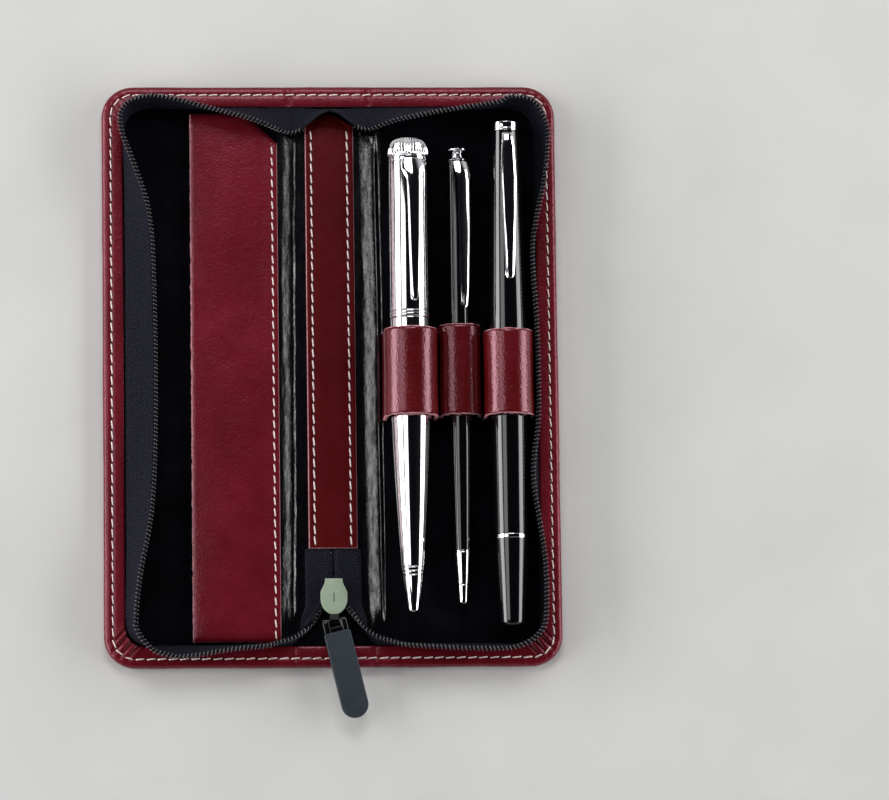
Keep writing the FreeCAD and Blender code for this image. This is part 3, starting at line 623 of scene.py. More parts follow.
def lining_height(side, x, y):
    """Soft ramp of the glossy lining that catches light: it faces left on both sides of the strip."""
    drift = 0.35 * ripple(side * 2.0, y * 0.022, 2.0) + y * -0.006
    start, crest, end = GUTTER_RAMP[side]
    rise = smooth_step(start, crest, x - drift)
    fall = 1 - smooth_step(crest - 0.3, end, x - drift)
    inside = smooth_step(GUTTER_IN - 1.0, GUTTER_IN + 1.0, x)
    inside *= 1 - smooth_step(GUTTER_OUT - 0.5, GUTTER_OUT + 0.3, x)
    wrinkle = 0.07 * ripple(x * 0.9, y * 0.10, 3.0)
    wrinkle += 0.05 * ripple(x * 2.0, y * 0.5, 8.0)
    fade = 1 - smooth_step(WINDOW_Y - 12.0, WINDOW_Y - 4.0, abs(y))
    nap = 0.08 * ripple(x * 0.12, y * 0.12, 0.0)
    ridge = RIDGE_HEIGHT[side] * rise * fall * fade
    return LINING_TOP - 0.02 + (ridge + wrinkle) * inside + nap * (1 - inside)


def build_linings():
    for name, side in SIDES:
        points, faces = chord_grid(BORDER - 0.05, LINING_ROWS, side, partial(lining_height, side))
        middles = [sum(abs(points[index].x) for index in face) / 4 for face in faces]
        slots = [1 if GUTTER_IN < x < GUTTER_OUT else 0 for x in middles]
        made = flat_sheet(name + "_lining", points, faces, [SUEDE, GLOSS], slots)
        bend_at_crease(made)
        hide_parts(name + "_cover_lining", *(["spine_lining"] if side > 0 else []))


# Zip tapes. Each lean is (share of the straight run, degrees inward); swags cross the creases
TAPE_LEANS = {
    "left": {
        "top": [(0.27, 21.6), (0.46, 10.3), (0.65, -2.6), (0.84, -14.2), (1.0, -18.0)],
        "top_corner": -20.0,
        "side": [(1.0, -12.3), (0.83, 14.9), (0.65, 44.7), (0.38, 58.1), (-0.14, 62.0), (-0.54, 48.5),
                 (-0.82, 20.9), (-1.0, 12.0)],
        "bottom_corner": 5.0,
        "bottom": [(1.0, -16.0), (0.9, -26.5), (0.73, -31.7), (0.35, -17.6)],
    },
    "right": {
        "top": [(0.27, 20.9), (0.46, 12.3), (0.71, 2.6), (0.92, -5.8), (1.0, -16.0)],
        "top_corner": -26.0,
        "side": [(1.0, -30.0), (0.89, -29.0), (0.76, -21.0), (0.62, -5.8), (0.47, 3.2), (0.17, -3.2),
                 (-0.19, -3.2), (-0.44, 7.7), (-0.76, -11.6), (-1.0, -12.0)],
        "bottom_corner": -10.0,
        "bottom": [(1.0, -16.0), (0.84, -19.6), (0.57, -18.2), (0.31, -14.9)],
    },
}
TOP_SWAG = {
    "left": [(0.0, 1.5, 10.9), (2.4, 2.3, 9.6), (4.4, 3.6, 8.4), (6.6, 5.3, 7.2), (8.8, 6.7, 6.3),
             (11.6, 7.0, 6.0), (14.8, 6.2, 6.8), (18.6, 4.9, 8.6)],
    "right": [(0.0, 1.5, 10.9), (2.6, 2.2, 9.8), (4.6, 3.4, 8.6), (6.8, 4.9, 7.4), (9.0, 5.9, 6.5),
              (11.8, 6.1, 6.1), (14.8, 5.2, 6.9), (18.6, 4.1, 8.6)],
}
BOTTOM_SWAG = {
    "left": [((19.5, -76.85, 2.7), (19.5, -78.6, 9.6)), ((15.6, -76.85, 2.7), (15.4, -77.2, 7.6)),
             ((12.4, -76.85, 2.9), (11.6, -76.0, 6.0)), ((10.6, -76.4, 3.3), (8.7, -74.0, 4.9)),
             ((9.8, -75.2, 3.5), (6.2, -71.6, 4.5)), ((9.3, -73.4, 3.6), (3.7, -68.3, 4.4)),
             ((9.0, -71.6, 3.7), (1.9, -65.8, 4.3))],
    "right": [((19.5, -76.85, 2.7), (19.5, -78.4, 9.6)), ((15.6, -76.85, 2.7), (15.6, -77.0, 7.6)),
              ((12.4, -76.85, 2.9), (11.9, -75.5, 6.0)), ((10.6, -76.4, 3.3), (9.1, -73.3, 4.9)),
              ((9.8, -75.2, 3.5), (6.7, -70.7, 4.5)), ((9.3, -73.4, 3.6), (4.2, -67.5, 4.4)),
              ((9.0, -71.6, 3.7), (2.2, -65.2, 4.3))],
}
TAPE_WIDTH = 8.95
TAPE_THICK = 0.6
TAPE_STEPS = 10
TAPE_FROM_CREASE = 3.5
TAPE_GAP = 1.15
WALL_X = WINDOW_X - TAPE_GAP
WALL_Y = WINDOW_Y - TAPE_GAP
ARC_X = WALL_X - WINDOW_CORNER
ARC_Y = WALL_Y - WINDOW_CORNER
RIBBON_STEP = 0.7
COIL_PITCH = 1.15
COIL_WIRE = 0.19
COIL_TALL = 0.46
COIL_WIDE = 0.66
COIL_FROM = 7.2
COIL_STEPS = 12
FOOT_REACH = 0.8


def leaning(foot, inward, lean):
    angle = math.radians(lean)
    return foot, foot + inward * (TAPE_WIDTH * math.sin(angle)) + Vector((0, 0, TAPE_WIDTH * math.cos(angle)))


def reach_border(foot, side):
    """Foot moved out to the border's edge where the tape starts along it."""
    centre = Vector((side * max(CREASE, min(abs(foot.x), ARC_X)), max(-ARC_Y, min(foot.y, ARC_Y)), foot.z))
    away = foot - centre
    if away.length < WINDOW_CORNER - 0.3 or abs(foot.x) < CREASE and foot.y < 0:
        return foot
    return foot + away.normalized() * FOOT_REACH


def ribbon_stations(name, side):
    """Foot and free edge of a tape at each station, from the top of the spine round to the slider."""
    leans = TAPE_LEANS[name]
    half = math.sqrt(0.5)
    reach = WINDOW_CORNER * half

    def along_end(key, up):
        start = CREASE + TAPE_FROM_CREASE
        return [leaning(Vector((side * (start + share * (ARC_X - start)), up * WALL_Y, LINING_TOP)),
                        Vector((0, -up, 0)), lean) for share, lean in leans[key]]

    def corner(key, up):
        foot = Vector((side * (ARC_X + reach), up * (ARC_Y + reach), LINING_TOP))
        return [leaning(foot, Vector((-side * half, -up * half, 0)), leans[key])]

    stations = [(Vector((side * x, WALL_Y, LINING_TOP)), Vector((side * x, WALL_Y - inward, z)))
                for x, inward, z in TOP_SWAG[name]]
    stations += along_end("top", 1) + corner("top_corner", 1)
    stations += [leaning(Vector((side * WALL_X, share * ARC_Y, LINING_TOP)), Vector((-side, 0, 0)), lean)
                 for share, lean in leans["side"]]
    stations += corner("bottom_corner", -1) + along_end("bottom", -1)
    stations += [tuple(Vector((side * x, y, z)) for x, y, z in pair) for pair in BOTTOM_SWAG[name]]
    return [(reach_border(foot, side), edge) for foot, edge in stations]


def matching_lines(stations, spacing):
    """Smooth foot line and free edge line with matching points, evenly spaced along the free edge."""
    foot_line, edge_line = [catmull(line) for line in zip(*stations)]
    return [(place_on(foot_line, spot), place_on(edge_line, spot)) for spot in even_spots(edge_line, spacing)]


def ribbon_frames(lines, side):
    """Up the tape and square to it, towards the middle of the cover, at each place."""
    centre = Vector((side * 33, 0, 0))
    frames = []
    for number, (foot, edge) in enumerate(lines):
        run = lines[min(number + 2, len(lines) - 1)][1] - lines[max(number - 2, 0)][1]
        up = (edge - foot).normalized()
        flat = up.cross(run).normalized()
        if flat.dot(centre - foot) < 0 and flat.z <= 0.3:
            flat = -flat
        if frames and flat.dot(frames[-1][1]) < 0:
            flat = -flat
        frames.append((up, flat))
    return frames


def tape_rings(lines, frames):
    """Cross-sections of the tape: a thin closed strip that bows a little and ripples along its edge."""
    rings = []
    for (foot, edge), (_, flat) in zip(lines, frames):
        run = edge - foot
        slack = max(0.0, TAPE_WIDTH - run.length)
        wave = 0.25 * ripple(foot.x * 0.2, foot.y * 0.2, 11.0)
        pucker = 0.16 * slack * ripple(foot.x * 1.1, foot.y * 0.4, 4.0)
        inner, outer = [], []
        for step in range(TAPE_STEPS + 1):
            share = step / TAPE_STEPS
            bow = math.sin(math.pi * share) * (0.3 + 0.45 * slack + wave + pucker)
            place = foot + run * share + UP * bow * abs(flat.z) ** 0.5 + flat * bow * (0.3 if slack else 1.0)
            half = TAPE_THICK / 2 * (0.6 if step in (0, TAPE_STEPS) else 1.0)
            inner.append(place + flat * half)
            outer.append(place - flat * half)
        rings.append([Vector((p.x, p.y, max(p.z, OVER_LINING))) for p in inner + outer[::-1]])
    return rings


def coil_mesh(name, places, frames, tall, wide):
    """Coil of one wire round a line, taller than wide."""
    line = resample(places, COIL_PITCH / COIL_STEPS)
    path = []
    for number, place in enumerate(line):
        share = number / max(len(line) - 1, 1) * (len(places) - 1)
        index = min(int(share), len(places) - 2)
        up = frames[index][0].lerp(frames[index + 1][0], share - index)
        flat = frames[index][1].lerp(frames[index + 1][1], share - index)
        angle = 2 * math.pi * number / COIL_STEPS
        path.append(place + up * (tall * math.cos(angle)) + flat * (wide * math.sin(angle)))
    return join_meshes(name, [wire_mesh(path, COIL_WIRE, 6)], COIL)


def build_ribbons():
    for name, side in SIDES:
        lines = matching_lines(ribbon_stations(name, side), RIBBON_STEP)
        frames = ribbon_frames(lines, side)
        tape = tidy_normals(loft(name + "_tape", tape_rings(lines, frames), TAPE))
        bend_at_crease(tape)
        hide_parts(name + "_zip_tape", "top_gusset")
        first = next(n for n, (_, edge) in enumerate(lines) if abs(edge.x) > COIL_FROM)
        places = [edge + frame[0] * 0.05 for (_, edge), frame in zip(lines, frames)]
        coil = coil_mesh(name + "_coil", places[first:], frames[first:], COIL_TALL, COIL_WIDE)
        bend_at_crease(coil)
        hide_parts(name + "_zip_coil")


# Flat leather pieces: strip, panel and loops
STRIP_POINT = 4.0
STRIP_STEPS = 60
STRIP_CUT_EDGES = (1, 13)
PANEL_THICK = 1.2
PANEL_CUT = (9.0, 8.5)
PANEL_ROWS = 100
LOOP_THICK = 1.2
LOOP_CLEARANCE = 0.28
LOOP_STEPS = 26
ARCH_STEPS = 22
LOOP_TRIM = [(0.0, -0.9), (0.7, 0.8), (0.1, -1.5)]


def strip_ring(y, half, low, top):
    """Cross-section of a leather strip at y: thin chamfered edges and a slight dome."""
    edge = min(0.3, half * 0.4)
    right = [(half, low), (half, top - 0.3), (half - edge * 0.35, top - 0.1), (half - edge, top)]
    seam = half - STRIP_STITCH
    if half > STRIP_STITCH + 1.0:
        right += [(seam + 0.5, top + 0.02), (seam, top - 0.1), (seam - 0.5, top + 0.02)]
    else:
        right += [(half * share, top) for share in (0.7, 0.6, 0.5)]
    right += [(half * 0.3, top + 0.05), (0.0, top + 0.06)]
    left = [(-x, z) for x, z in reversed(right[:-1])]
    return [Vector((x, y, z)) for x, z in right + left]


def build_strip():
    low, high = box_mm("spine_strip")
    start = low.y + 0.4
    ys = [low.y + 0.01, low.y + 0.12, start]
    ys += [start + (high.y - STRIP_POINT - low.y - 0.4) * number / STRIP_STEPS
           for number in range(1, STRIP_STEPS + 1)]
    ys += [high.y - STRIP_POINT * (1 - number / 8) for number in range(1, 9)]
    rings = []
    for y in ys:
        width = high.x
        if y > high.y - STRIP_POINT:
            width *= max((high.y - y) / STRIP_POINT, 0.02)
        drop = 0.2 if y < low.y + 0.1 else 0.0
        rings.append(strip_ring(y, width, low.z, high.z - drop - 0.06))
    made = loft("spine_strip_leather", rings, STRIP_LEATHER, RAW,
                slot_of=lambda row, column: 1 if column in STRIP_CUT_EDGES or row in (-1, 0) else 0)
    finish_piece(tidy_normals(made), "spine", "burgundy_leather", "spine_strip")


def panel_section(mouth, seam):
    """Places across the panel: x, and drop of the upper face there."""
    inner = [(mouth + 0.35 + (seam - mouth - 0.6) * number / 30, 0.0) for number in range(31)]
    return [(mouth, 0.55), (mouth + 0.28, 0.12), *inner, (seam - 0.1, 0.12), (seam, 0.4)]


def build_panel():
    low, high = box_mm("pocket_panel")
    low.y -= PANEL_DROP
    seam, mouth = high.x, low.x
    cut_x, cut_y = PANEL_CUT
    section = panel_section(mouth, seam)
    upper, lower = [], []
    for x, drop in section:
        share = (x - mouth) / (seam - mouth)
        top_y = high.y - max(0.0, (x - (seam - cut_x)) / cut_x) * cut_y
        lift = 1.1 * math.sin(math.pi * min(1.0, 0.12 + share / 0.95)) * (share < 0.88)
        for row in range(PANEL_ROWS + 1):
            y = low.y + (top_y - low.y) * row / PANEL_ROWS
            swell = 0.55 * ripple(x * 0.05, y * 0.022, 5.0)
            edge = 0.3 * ripple(3.0, y * 0.5, 9.0) * (share < 0.012)
            base = LINING_TOP + max(0.0, lift * (1 - 0.25 * smooth_step(0.6, 1.0, abs(y) / high.y)))
            z = base + PANEL_THICK
            z += swell * (1 - smooth_step(0.75, 0.95, share)) * smooth_step(0.0, 0.2, share + 0.1)
            end = 0.35 * (1 - smooth_step(0.0, 0.5, min(y - low.y, top_y - y)))
            seat = 0.14 * bell(seam - STITCH_SEAM - x, 0.45)
            upper.append(Vector((x + edge, y, z - seat - drop - end)))
            lower.append(Vector((x + edge, y, max(z - PANEL_THICK, OVER_LINING))))
    columns, count = len(section), PANEL_ROWS + 1
    size = columns * count
    faces = grid_faces(columns, count)
    slots = [1 if number // PANEL_ROWS in (0, 1, columns - 2) else 0 for number in range(len(faces))]
    faces += grid_faces(columns, count, False, size)
    rim = [column * count for column in range(columns)]
    rim += [(columns - 1) * count + row for row in range(1, count)]
    rim += [column * count + PANEL_ROWS for column in range(columns - 2, -1, -1)]
    rim += range(PANEL_ROWS - 1, 0, -1)
    faces += [(here, there, there + size, here + size) for here, there in zip(rim, rim[1:] + rim[:1])]
    slots += [1] * (len(faces) - len(slots))
    made = flat_sheet("panel_leather", upper + lower, faces, [LEATHER, RAW], slots)
    finish_piece(made, "left_cover", "burgundy_leather", "pocket_panel")


def loop_line(x, half, axis_z, crown_z, grow=0.0, foot=0.0):
    """Line of a loop's cross-section, foot to foot, grown by its thickness for the outside."""
    side = half + grow
    tall = crown_z + grow - axis_z
    feet = [(side + foot, 0.0), (side + foot * 0.3, 0.9), (side, 2.0)]
    line = [Vector((x - wide, 0, LINING_TOP + up)) for wide, up in feet]
    for step in range(ARCH_STEPS + 1):
        angle = math.pi * (1 - step / ARCH_STEPS)
        line.append(Vector((x + side * math.cos(angle), 0, axis_z + tall * math.sin(angle) ** 0.92)))
    return line + [Vector((x + wide, 0, LINING_TOP + up)) for wide, up in reversed(feet)]


def bevel_raw_edges(made):
    """Round the two cut ends a little so that their rims catch light."""
    with editing(made) as work:
        rims = [edge for edge in work.edges if any(face.material_index == 1 for face in edge.link_faces)]
        bmesh.ops.bevel(work, geom=rims, offset=0.22 * MM, segments=2, affect="EDGES", material=1)
        bmesh.ops.triangulate(work, faces=[face for face in work.faces if len(face.verts) > 4])
    shade_smooth(made.data)


def build_loops(pens):
    for number, (pen, (foot_trim, head_trim)) in enumerate(zip(pens, LOOP_TRIM)):
        node = "pen_loop_%d" % (number + 1)
        low, high = box_mm(node)
        x = (low.x + high.x) / 2
        half = (high.x - low.x) / 2 - LOOP_THICK - LOOP_CLEARANCE
        crown = high.z - LOOP_THICK
        rings = []
        for step in range(LOOP_STEPS + 1):
            share = step / LOOP_STEPS
            y = low.y + foot_trim + (high.y + head_trim - low.y - foot_trim) * share
            flare = 0.18 * (2 * share - 1) ** 2
            wave = 0.15 * ripple(number * 3.1, y * 0.12, 2.0)
            shift = 0.25 * math.sin(number * 2.1 + 1.0) * (share - 0.5)
            cut = 0.30 * (2 * share - 1) ** 6
            outer = loop_line(x, half, pen["z"], crown + flare * 0.6, LOOP_THICK, 0.26)
            inner = loop_line(x, half, pen["z"], crown + flare * 0.3)
            ring = []
            for p in outer + inner[::-1]:
                fray = cut * ripple(p.x * 0.6, number * 5.0 + round(share), 6.0)
                across = p.x + shift * 0.3 + flare * 0.5 * (p.x - x) / half
                ring.append(Vector((across, y + wave + fray, p.z)))
            rings.append(ring)
        made = loft("loop_leather_%d" % (number + 1), rings, LOOP_LEATHER, RAW,
                    slot_of=lambda row, column: 1 if row in (-1, LOOP_STEPS + 1) else 0)
        bevel_raw_edges(tidy_normals(made))
        finish_piece(made, "right_cover", "burgundy_leather", node)


# Stitches
def stitch_mesh(place, run, up):
    """One stitch: a short thread that rises out of its hole and dips into the next."""
    along = (Matrix.Rotation(math.radians(STITCH_TILT), 3, up) @ run).normalized()
    path = []
    for step in range(7):
        share = step / 6
        rise = 1.35 * math.sin(math.pi * share) ** 0.6 - 0.75
        path.append(place + along * (STITCH_LENGTH * (share - 0.5)) + up * (THREAD_RADIUS * rise))
    return wire_mesh(path, THREAD_RADIUS, 8)


def hole_shade_disc(place, up):
    """Painted shade of a needle hole: a small dark dimple just over the leather."""
    side = up.orthogonal().normalized()
    other = up.cross(side)
    ring = []
    for number in range(HOLE_SIDES):
        angle = 2 * math.pi * number / HOLE_SIDES
        ring.append(place + up * 0.03 + side * (HOLE_RADIUS * math.cos(angle))
                    + other * (HOLE_RADIUS * math.sin(angle)))
    faces = [(number, (number + 1) % HOLE_SIDES, HOLE_SIDES) for number in range(HOLE_SIDES)]
    return ring + [place + up * 0.05], faces, [(0.0, 0.0)] * (HOLE_SIDES + 1)


def lay_stitches(line, up, jitter):
    """Stitches at an even pitch along a line, with a disc of painted shade at the needle hole between each
    two.
    """
    total = sum((after - before).length for before, after in zip(line, line[1:]))
    count = max(1, round(total / STITCH_PITCH))
    points = resample(line, total / (count * 4))
    made = []
    for number in range(count):
        index = min(4 * number + 2, len(points) - 2)
        run = (points[index + 1] - points[index - 1]).normalized()
        place = points[index] + run * jitter.uniform(-0.12, 0.12)
        hole = points[min(4 * number + 4, len(points) - 1)]
        made.append((place, stitch_mesh(place, run, up), hole_shade_disc(hole, up)))
    return made


def body_at(x):
    if x > CREASE:
        return "right_cover"
    return "left_cover" if x < -CREASE else "spine"


def build_stitches():
    jitter = random.Random(5)
    sewn = {body: ([], []) for body in ("left_cover", "spine", "right_cover")}

    def sew(line, up, body=None):
        for place, thread, hole in lay_stitches(line, up, jitter):
            threads, hole_shades = sewn[body or body_at(place.x)]
            threads.append(thread)
            if abs(abs(place.x) - CREASE) > STITCH_PITCH:
                hole_shades.append(hole)

    def sew_upright(x, start, end, z, body):
        sew([Vector((x, start, z)), Vector((x, end, z))], UP, body)

    for _, side in SIDES:
        for level, up in ((BORDER_TOP + 0.02, UP), (-0.02, DOWN)):
            line = []
            for station in STATIONS:
                point, _ = outline_point(station, STITCH_INSET)
                lift = pleat(station, STITCH_INSET) if up.z > 0 else 0.0
                line.append(Vector((side * point.x, point.y, level + lift)))
            sew(line, up)
    low, high = box_mm("spine_strip")
    for _, side in SIDES:
        sew_upright(side * (high.x - STRIP_STITCH), low.y + 0.6, high.y - 5.2, high.z - 0.12, "spine")
    low, high = box_mm("pocket_panel")
    sew_upright(high.x - STITCH_SEAM, low.y + 0.6 - PANEL_DROP, high.y - 9.0, LINING_TOP + 1.08, "left_cover")
    for body, (threads, hole_shades) in sewn.items():
        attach(join_meshes(body + "_stitches", threads, THREAD), body)
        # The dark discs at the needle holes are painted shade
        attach(join_meshes(body + "_hole_shade_discs", hole_shades, HOLE_SHADE), body)


# Tail of the zip on the spine, with places measured down from its top
TAIL_FOOT = 9.4
TAIL_WAIST = 15.7
TAIL_SLOT = 11.2
TAIL_HALF = 8.0
TAIL_THICK = 0.6
TAIL_ROWS = 90
TAIL_STEPS = 12
SLOT_HALF = 0.1


def tail_inner(side_name, y, slot_top):
    """Distance of the tail tape's inner edge from the middle at y."""
    edges = sorted(((edge[1], edge[0]) for _, edge in BOTTOM_SWAG[side_name] if edge[0] < 10), reverse=True)
    if y > slot_top:
        return SLOT_HALF
    above = (slot_top, SLOT_HALF)
    for below in edges:
        if y >= below[0]:
            share = (above[0] - y) / (above[0] - below[0])
            return above[1] + (below[1] - above[1]) * share
        above = below
    return above[1] + (above[0] - y) * 0.9


def tail_end(side_name, slot_top, bottom):
    """Lowest y of one half of the tail tape, where its inner edge has run out to the foot's width."""
    y = slot_top
    while y > bottom and tail_inner(side_name, y - 0.1, slot_top) < TAIL_FOOT - 0.3:
        y -= 0.1
    return y


def tail_ring(name, side, y, top, base):
    """Cross-section of one half of the tail tape at y, with a ridge along its inner edge."""
    inner = tail_inner(name, y, top - TAIL_SLOT)
    outer = TAIL_HALF + (TAIL_FOOT - TAIL_HALF) * smooth_step(0, 5.0, top - TAIL_WAIST - y)
    outer = max(outer, inner + 0.1)
    drop = 0.75 * (1 - smooth_step(0.0, 3.2, top - y))
    upper = []
    for step in range(TAIL_STEPS + 1):
        share = step / TAIL_STEPS
        wave = 0.14 * ripple(side * share * 3, y * 0.22, 1.0)
        x = inner + (outer - inner) * share
        ridge = 0.35 * bell(x - inner - 1.5, 0.8) - 0.3 * bell(x - inner, 0.35)
        sink = 0.25 * (step == TAIL_STEPS)
        upper.append(Vector((side * x, y, base + TAIL_THICK - drop + wave + ridge - sink)))
    return upper + [Vector((p.x, p.y, max(p.z - TAIL_THICK * 0.9, OVER_LINING))) for p in upper[::-1]]


def build_tail():
    low, high = box_mm("zip_tail_tape")
    top, slot_top = high.y, high.y - TAIL_SLOT
    base = LINING_TOP + 0.8
    for name, side in SIDES:
        bottom = tail_end(name, slot_top, low.y)
        rings = [tail_ring(name, side, top + (bottom - top) * row / TAIL_ROWS, top, base)
                 for row in range(TAIL_ROWS + 1)]
        tape = tidy_normals(loft("tail_tape_" + name, rings, TAPE))
        finish_piece(tape, "spine", "zip_tape", "zip_tail_tape")
        end_x, end_y, _ = BOTTOM_SWAG[name][-1][1]
        line = [(0.8, top - 1.0, -0.15), (0.8, top - 4.2, -0.1), (1.65, top - 6.5, 0.38),
                (1.65, slot_top - 1.0, 0.38), (end_x, end_y, 0.75)]
        path = resample([Vector((side * x, y, base + lift)) for x, y, lift in line], 0.4)
        frames = []
        for number in range(len(path)):
            run = path[min(number + 1, len(path) - 1)] - path[max(number - 1, 0)]
            frames.append((UP, UP.cross(run).normalized()))
        coil = coil_mesh("tail_coil_" + name, path, frames, 0.2, 0.5)
        finish_piece(coil, "spine", "zip_coil", "zip_tail_coil")


# Slider, link and tab
PIN = Vector(JOINTS["pull_swing"]["pos_m"]) / MM
PULL_DROOP = 3.5
PULL_TURN = 13.5
LINK_HEAD = PIN.y - 2.9
LINK_INNER = 1.65
LINK_OUTER = 3.45
EYE_RADIUS = 0.8
TAB_HALF = 3.85
TAB_LENGTH = 25.0
TAB_SHOULDER = 0.5


def plate(name, outline, z0, z1, bevel, material, matrix=None):
    """Flat plate with a rounded rim, from an outline in mm."""
    work = bmesh.new()
    face = work.faces.new([work.verts.new(Vector((x, y, z0)) * MM) for x, y in outline])
    lifted = bmesh.ops.extrude_face_region(work, geom=[face])
    top = [item for item in lifted["geom"] if isinstance(item, bmesh.types.BMVert)]
    bmesh.ops.translate(work, verts=top, vec=(0, 0, (z1 - z0) * MM))
    bmesh.ops.recalc_face_normals(work, faces=work.faces)
    rims = [edge for edge in work.edges if abs(edge.verts[0].co.z - edge.verts[1].co.z) < 1e-7]
    bmesh.ops.bevel(work, geom=rims, offset=bevel * MM, segments=3, profile=0.6, affect="EDGES")
    bmesh.ops.triangulate(work, faces=[face for face in work.faces if len(face.verts) > 4])
    mesh = bpy.data.meshes.new(name)
    work.to_mesh(mesh)
    work.free()
    mesh.materials.append(material)
    shade_smooth(mesh)
    if matrix:
        mesh.transform(matrix)
    made = put_in_scene(name, mesh)
    crisp_edges(made)
    return made


def shield(width, neck, top, bottom):
    """Slider outline: narrow flat top, soft shoulders and a round lower end."""
    half, length = width / 2, top - bottom
    right = []
    for step in range(15):
        share = 0.55 * step / 14
        right.append((neck / 2 + (half - neck / 2) * smooth_step(0.06, 0.42, share), top - length * share))
    tall = length * 0.45
    angles = [-math.pi * step / 24 for step in range(1, 24)]
    arc = [(half * math.cos(angle), bottom + tall + tall * math.sin(angle)) for angle in angles]
    return right + arc + [(-x, y) for x, y in reversed(right)]


def bar(near, far, start, end):
    """Outline of a rectangle from two places across and two along."""
    return [(near, start), (near, end), (far, end), (far, start)]


def build_slider():
    low, high = box_mm("slider_body")
    bottom, top, roof = PIN.y + 2.1, high.y + 0.4, PIN.z - 1.35
    middle = (top + bottom) / 2 - 0.2
    outline = shield(high.x - low.x, 5.0, top, bottom)
    plates = [("roof", outline, roof + 0.35, roof + 0.95, 0.3, SLIDER),
              ("rim", outline, roof, roof + 0.4, 0.12, LINK),
              ("base", outline, LINING_TOP + 0.1, LINING_TOP + 0.5, 0.15, LINK),
              # The dark bar along the slider stands for the engraved line: painted shade in its groove
              ("groove_shade", bar(0.16, -0.16, middle - 1.3, middle + 1.3), roof + 0.8, roof + 0.97, 0.02, GROOVE_SHADE),
              ("post", bar(0.85, -0.85, bottom + 0.3, bottom + 2.1), LINING_TOP + 0.5, roof + 0.1, 0.1, LINK)]
    for name, side in SIDES:
        flange = bar(side * 3.8, side * 3.2, bottom + 3.6, top - 3.8)
        plates.append(("flange_" + name, flange, LINING_TOP + 1.55, roof + 0.1, 0.1, LINK))
    parts = [plate("slider_" + name, *sizes) for name, *sizes in plates]
    lug_line = [(bottom + 2.0, roof + 0.3), (bottom + 0.6, roof + 0.5), (PIN.y + 0.5, PIN.z + 0.9),
                (PIN.y - 0.7, PIN.z + 0.65), (PIN.y - 1.0, PIN.z), (PIN.y - 0.6, PIN.z - 0.75),
                (PIN.y + 0.4, PIN.z - 0.95), (bottom + 0.6, roof + 0.1), (bottom + 2.0, roof + 0.1)]
    rings = [[Vector((x, y, z)) for y, z in lug_line] for x in (-1.3, -1.2, 1.2, 1.3)]
    lug = tidy_normals(loft("slider_lug", rings, LINK))
    crisp_edges(lug, 35)
    axle = [Vector((x, PIN.y, PIN.z)) for x in (-3.3, -3.2, 3.2, 3.3)]
    parts += [lug, join_meshes("slider_pin", [wire_mesh(axle, 0.55, 20)], LINK)]
    for number, made in enumerate(parts):
        finish_piece(made, "slider", "slider_enamel", *(["slider_body"] if number == 0 else []))


def pull_matrix():
    """Droop and turn of the pull about its pin."""
    pivot = Vector(JOINTS["pull_swing"]["pos_m"])
    droop = Matrix.Rotation(math.radians(PULL_DROOP), 4, "X")
    turn = Matrix.Rotation(math.radians(PULL_TURN), 4, "Z")
    return Matrix.Translation(pivot) @ turn @ droop @ Matrix.Translation(-pivot)


def build_pull():
    matrix = pull_matrix()
    angles = [math.pi * (step / 8) - math.pi / 2 for step in range(9)]
    line = [(PIN.y + EYE_RADIUS * math.cos(angle), PIN.z + EYE_RADIUS * math.sin(angle)) for angle in angles]
    line += [(LINK_HEAD - 0.2, PIN.z + EYE_RADIUS), (LINK_HEAD - 0.2, PIN.z - EYE_RADIUS)]
    pinches = ((LINK_INNER, 0.85), (LINK_INNER + 0.12, 1.0), (LINK_OUTER - 0.3, 1.0), (LINK_OUTER - 0.1, 0.9),
               (LINK_OUTER, 0.7))
    for name, side in SIDES:
        rings = []
        for x, pinch in pinches:
            rings.append([Vector((side * x, PIN.y + (y - PIN.y) * (0.98 if y < PIN.y else pinch),
                                  PIN.z + (z - PIN.z) * pinch)) for y, z in line])
        made = tidy_normals(loft("link_arm_" + name, rings, LINK))
        made.data.transform(matrix)
        crisp_edges(made, 45)
        finish_piece(made, "pull", "pull_wire", *(["pull_link"] if side < 0 else []))
    bridge = [(-3.3, LINK_HEAD - 0.3), (3.3, LINK_HEAD - 0.3), (3.3, PIN.y - 1.5), (-3.3, PIN.y - 1.5)]
    made = plate("link_bridge", bridge, PIN.z - 0.75, PIN.z + 0.75, 0.25, LINK, matrix)
    finish_piece(made, "pull", "pull_wire")
    centre = LINK_HEAD - TAB_LENGTH + TAB_HALF
    angles = [-math.pi * step / 24 for step in range(25)]
    outline = [(TAB_HALF - TAB_SHOULDER, LINK_HEAD), (TAB_HALF, LINK_HEAD - TAB_SHOULDER)]
    outline += [(TAB_HALF * math.cos(angle), centre + TAB_HALF * math.sin(angle)) for angle in angles]
    outline += [(-TAB_HALF, LINK_HEAD - TAB_SHOULDER), (-TAB_HALF + TAB_SHOULDER, LINK_HEAD)]
    made = plate("tab_body", outline, PIN.z - 1.0, PIN.z + 1.0, 0.45, TAB, matrix)
    finish_piece(made, "pull", "pull_rubber", "pull_tab")


# Pens. Profiles are rows of (y, radius), and clips rows of (y, half width, underside, thickness, bulge)
FINISHES = {"chrome": CHROME, "black_lacquer": BLACK, "refill_metal": BRASS}
CORE = 0.1


def rounded(profile, radius, steps=3):
    """Profile with its corners rounded."""
    made = [profile[0]]
    for before, here, after in zip(profile, profile[1:], profile[2:]):
        a, b, c = Vector(before), Vector(here), Vector(after)
        reach = min(radius, (a - b).length * 0.45, (c - b).length * 0.45)
        start = b + (a - b).normalized() * reach
        finish = b + (c - b).normalized() * reach
        for step in range(steps + 1):
            t = step / steps
            made.append(tuple(start * (1 - t) ** 2 + b * (2 * t * (1 - t)) + finish * t ** 2))
    made.append(profile[-1])
    return made


def from_place(origin, *rows):
    """Rows whose first number is measured from a place along the pen."""
    return [(origin + row[0], *row[1:]) for row in rows]


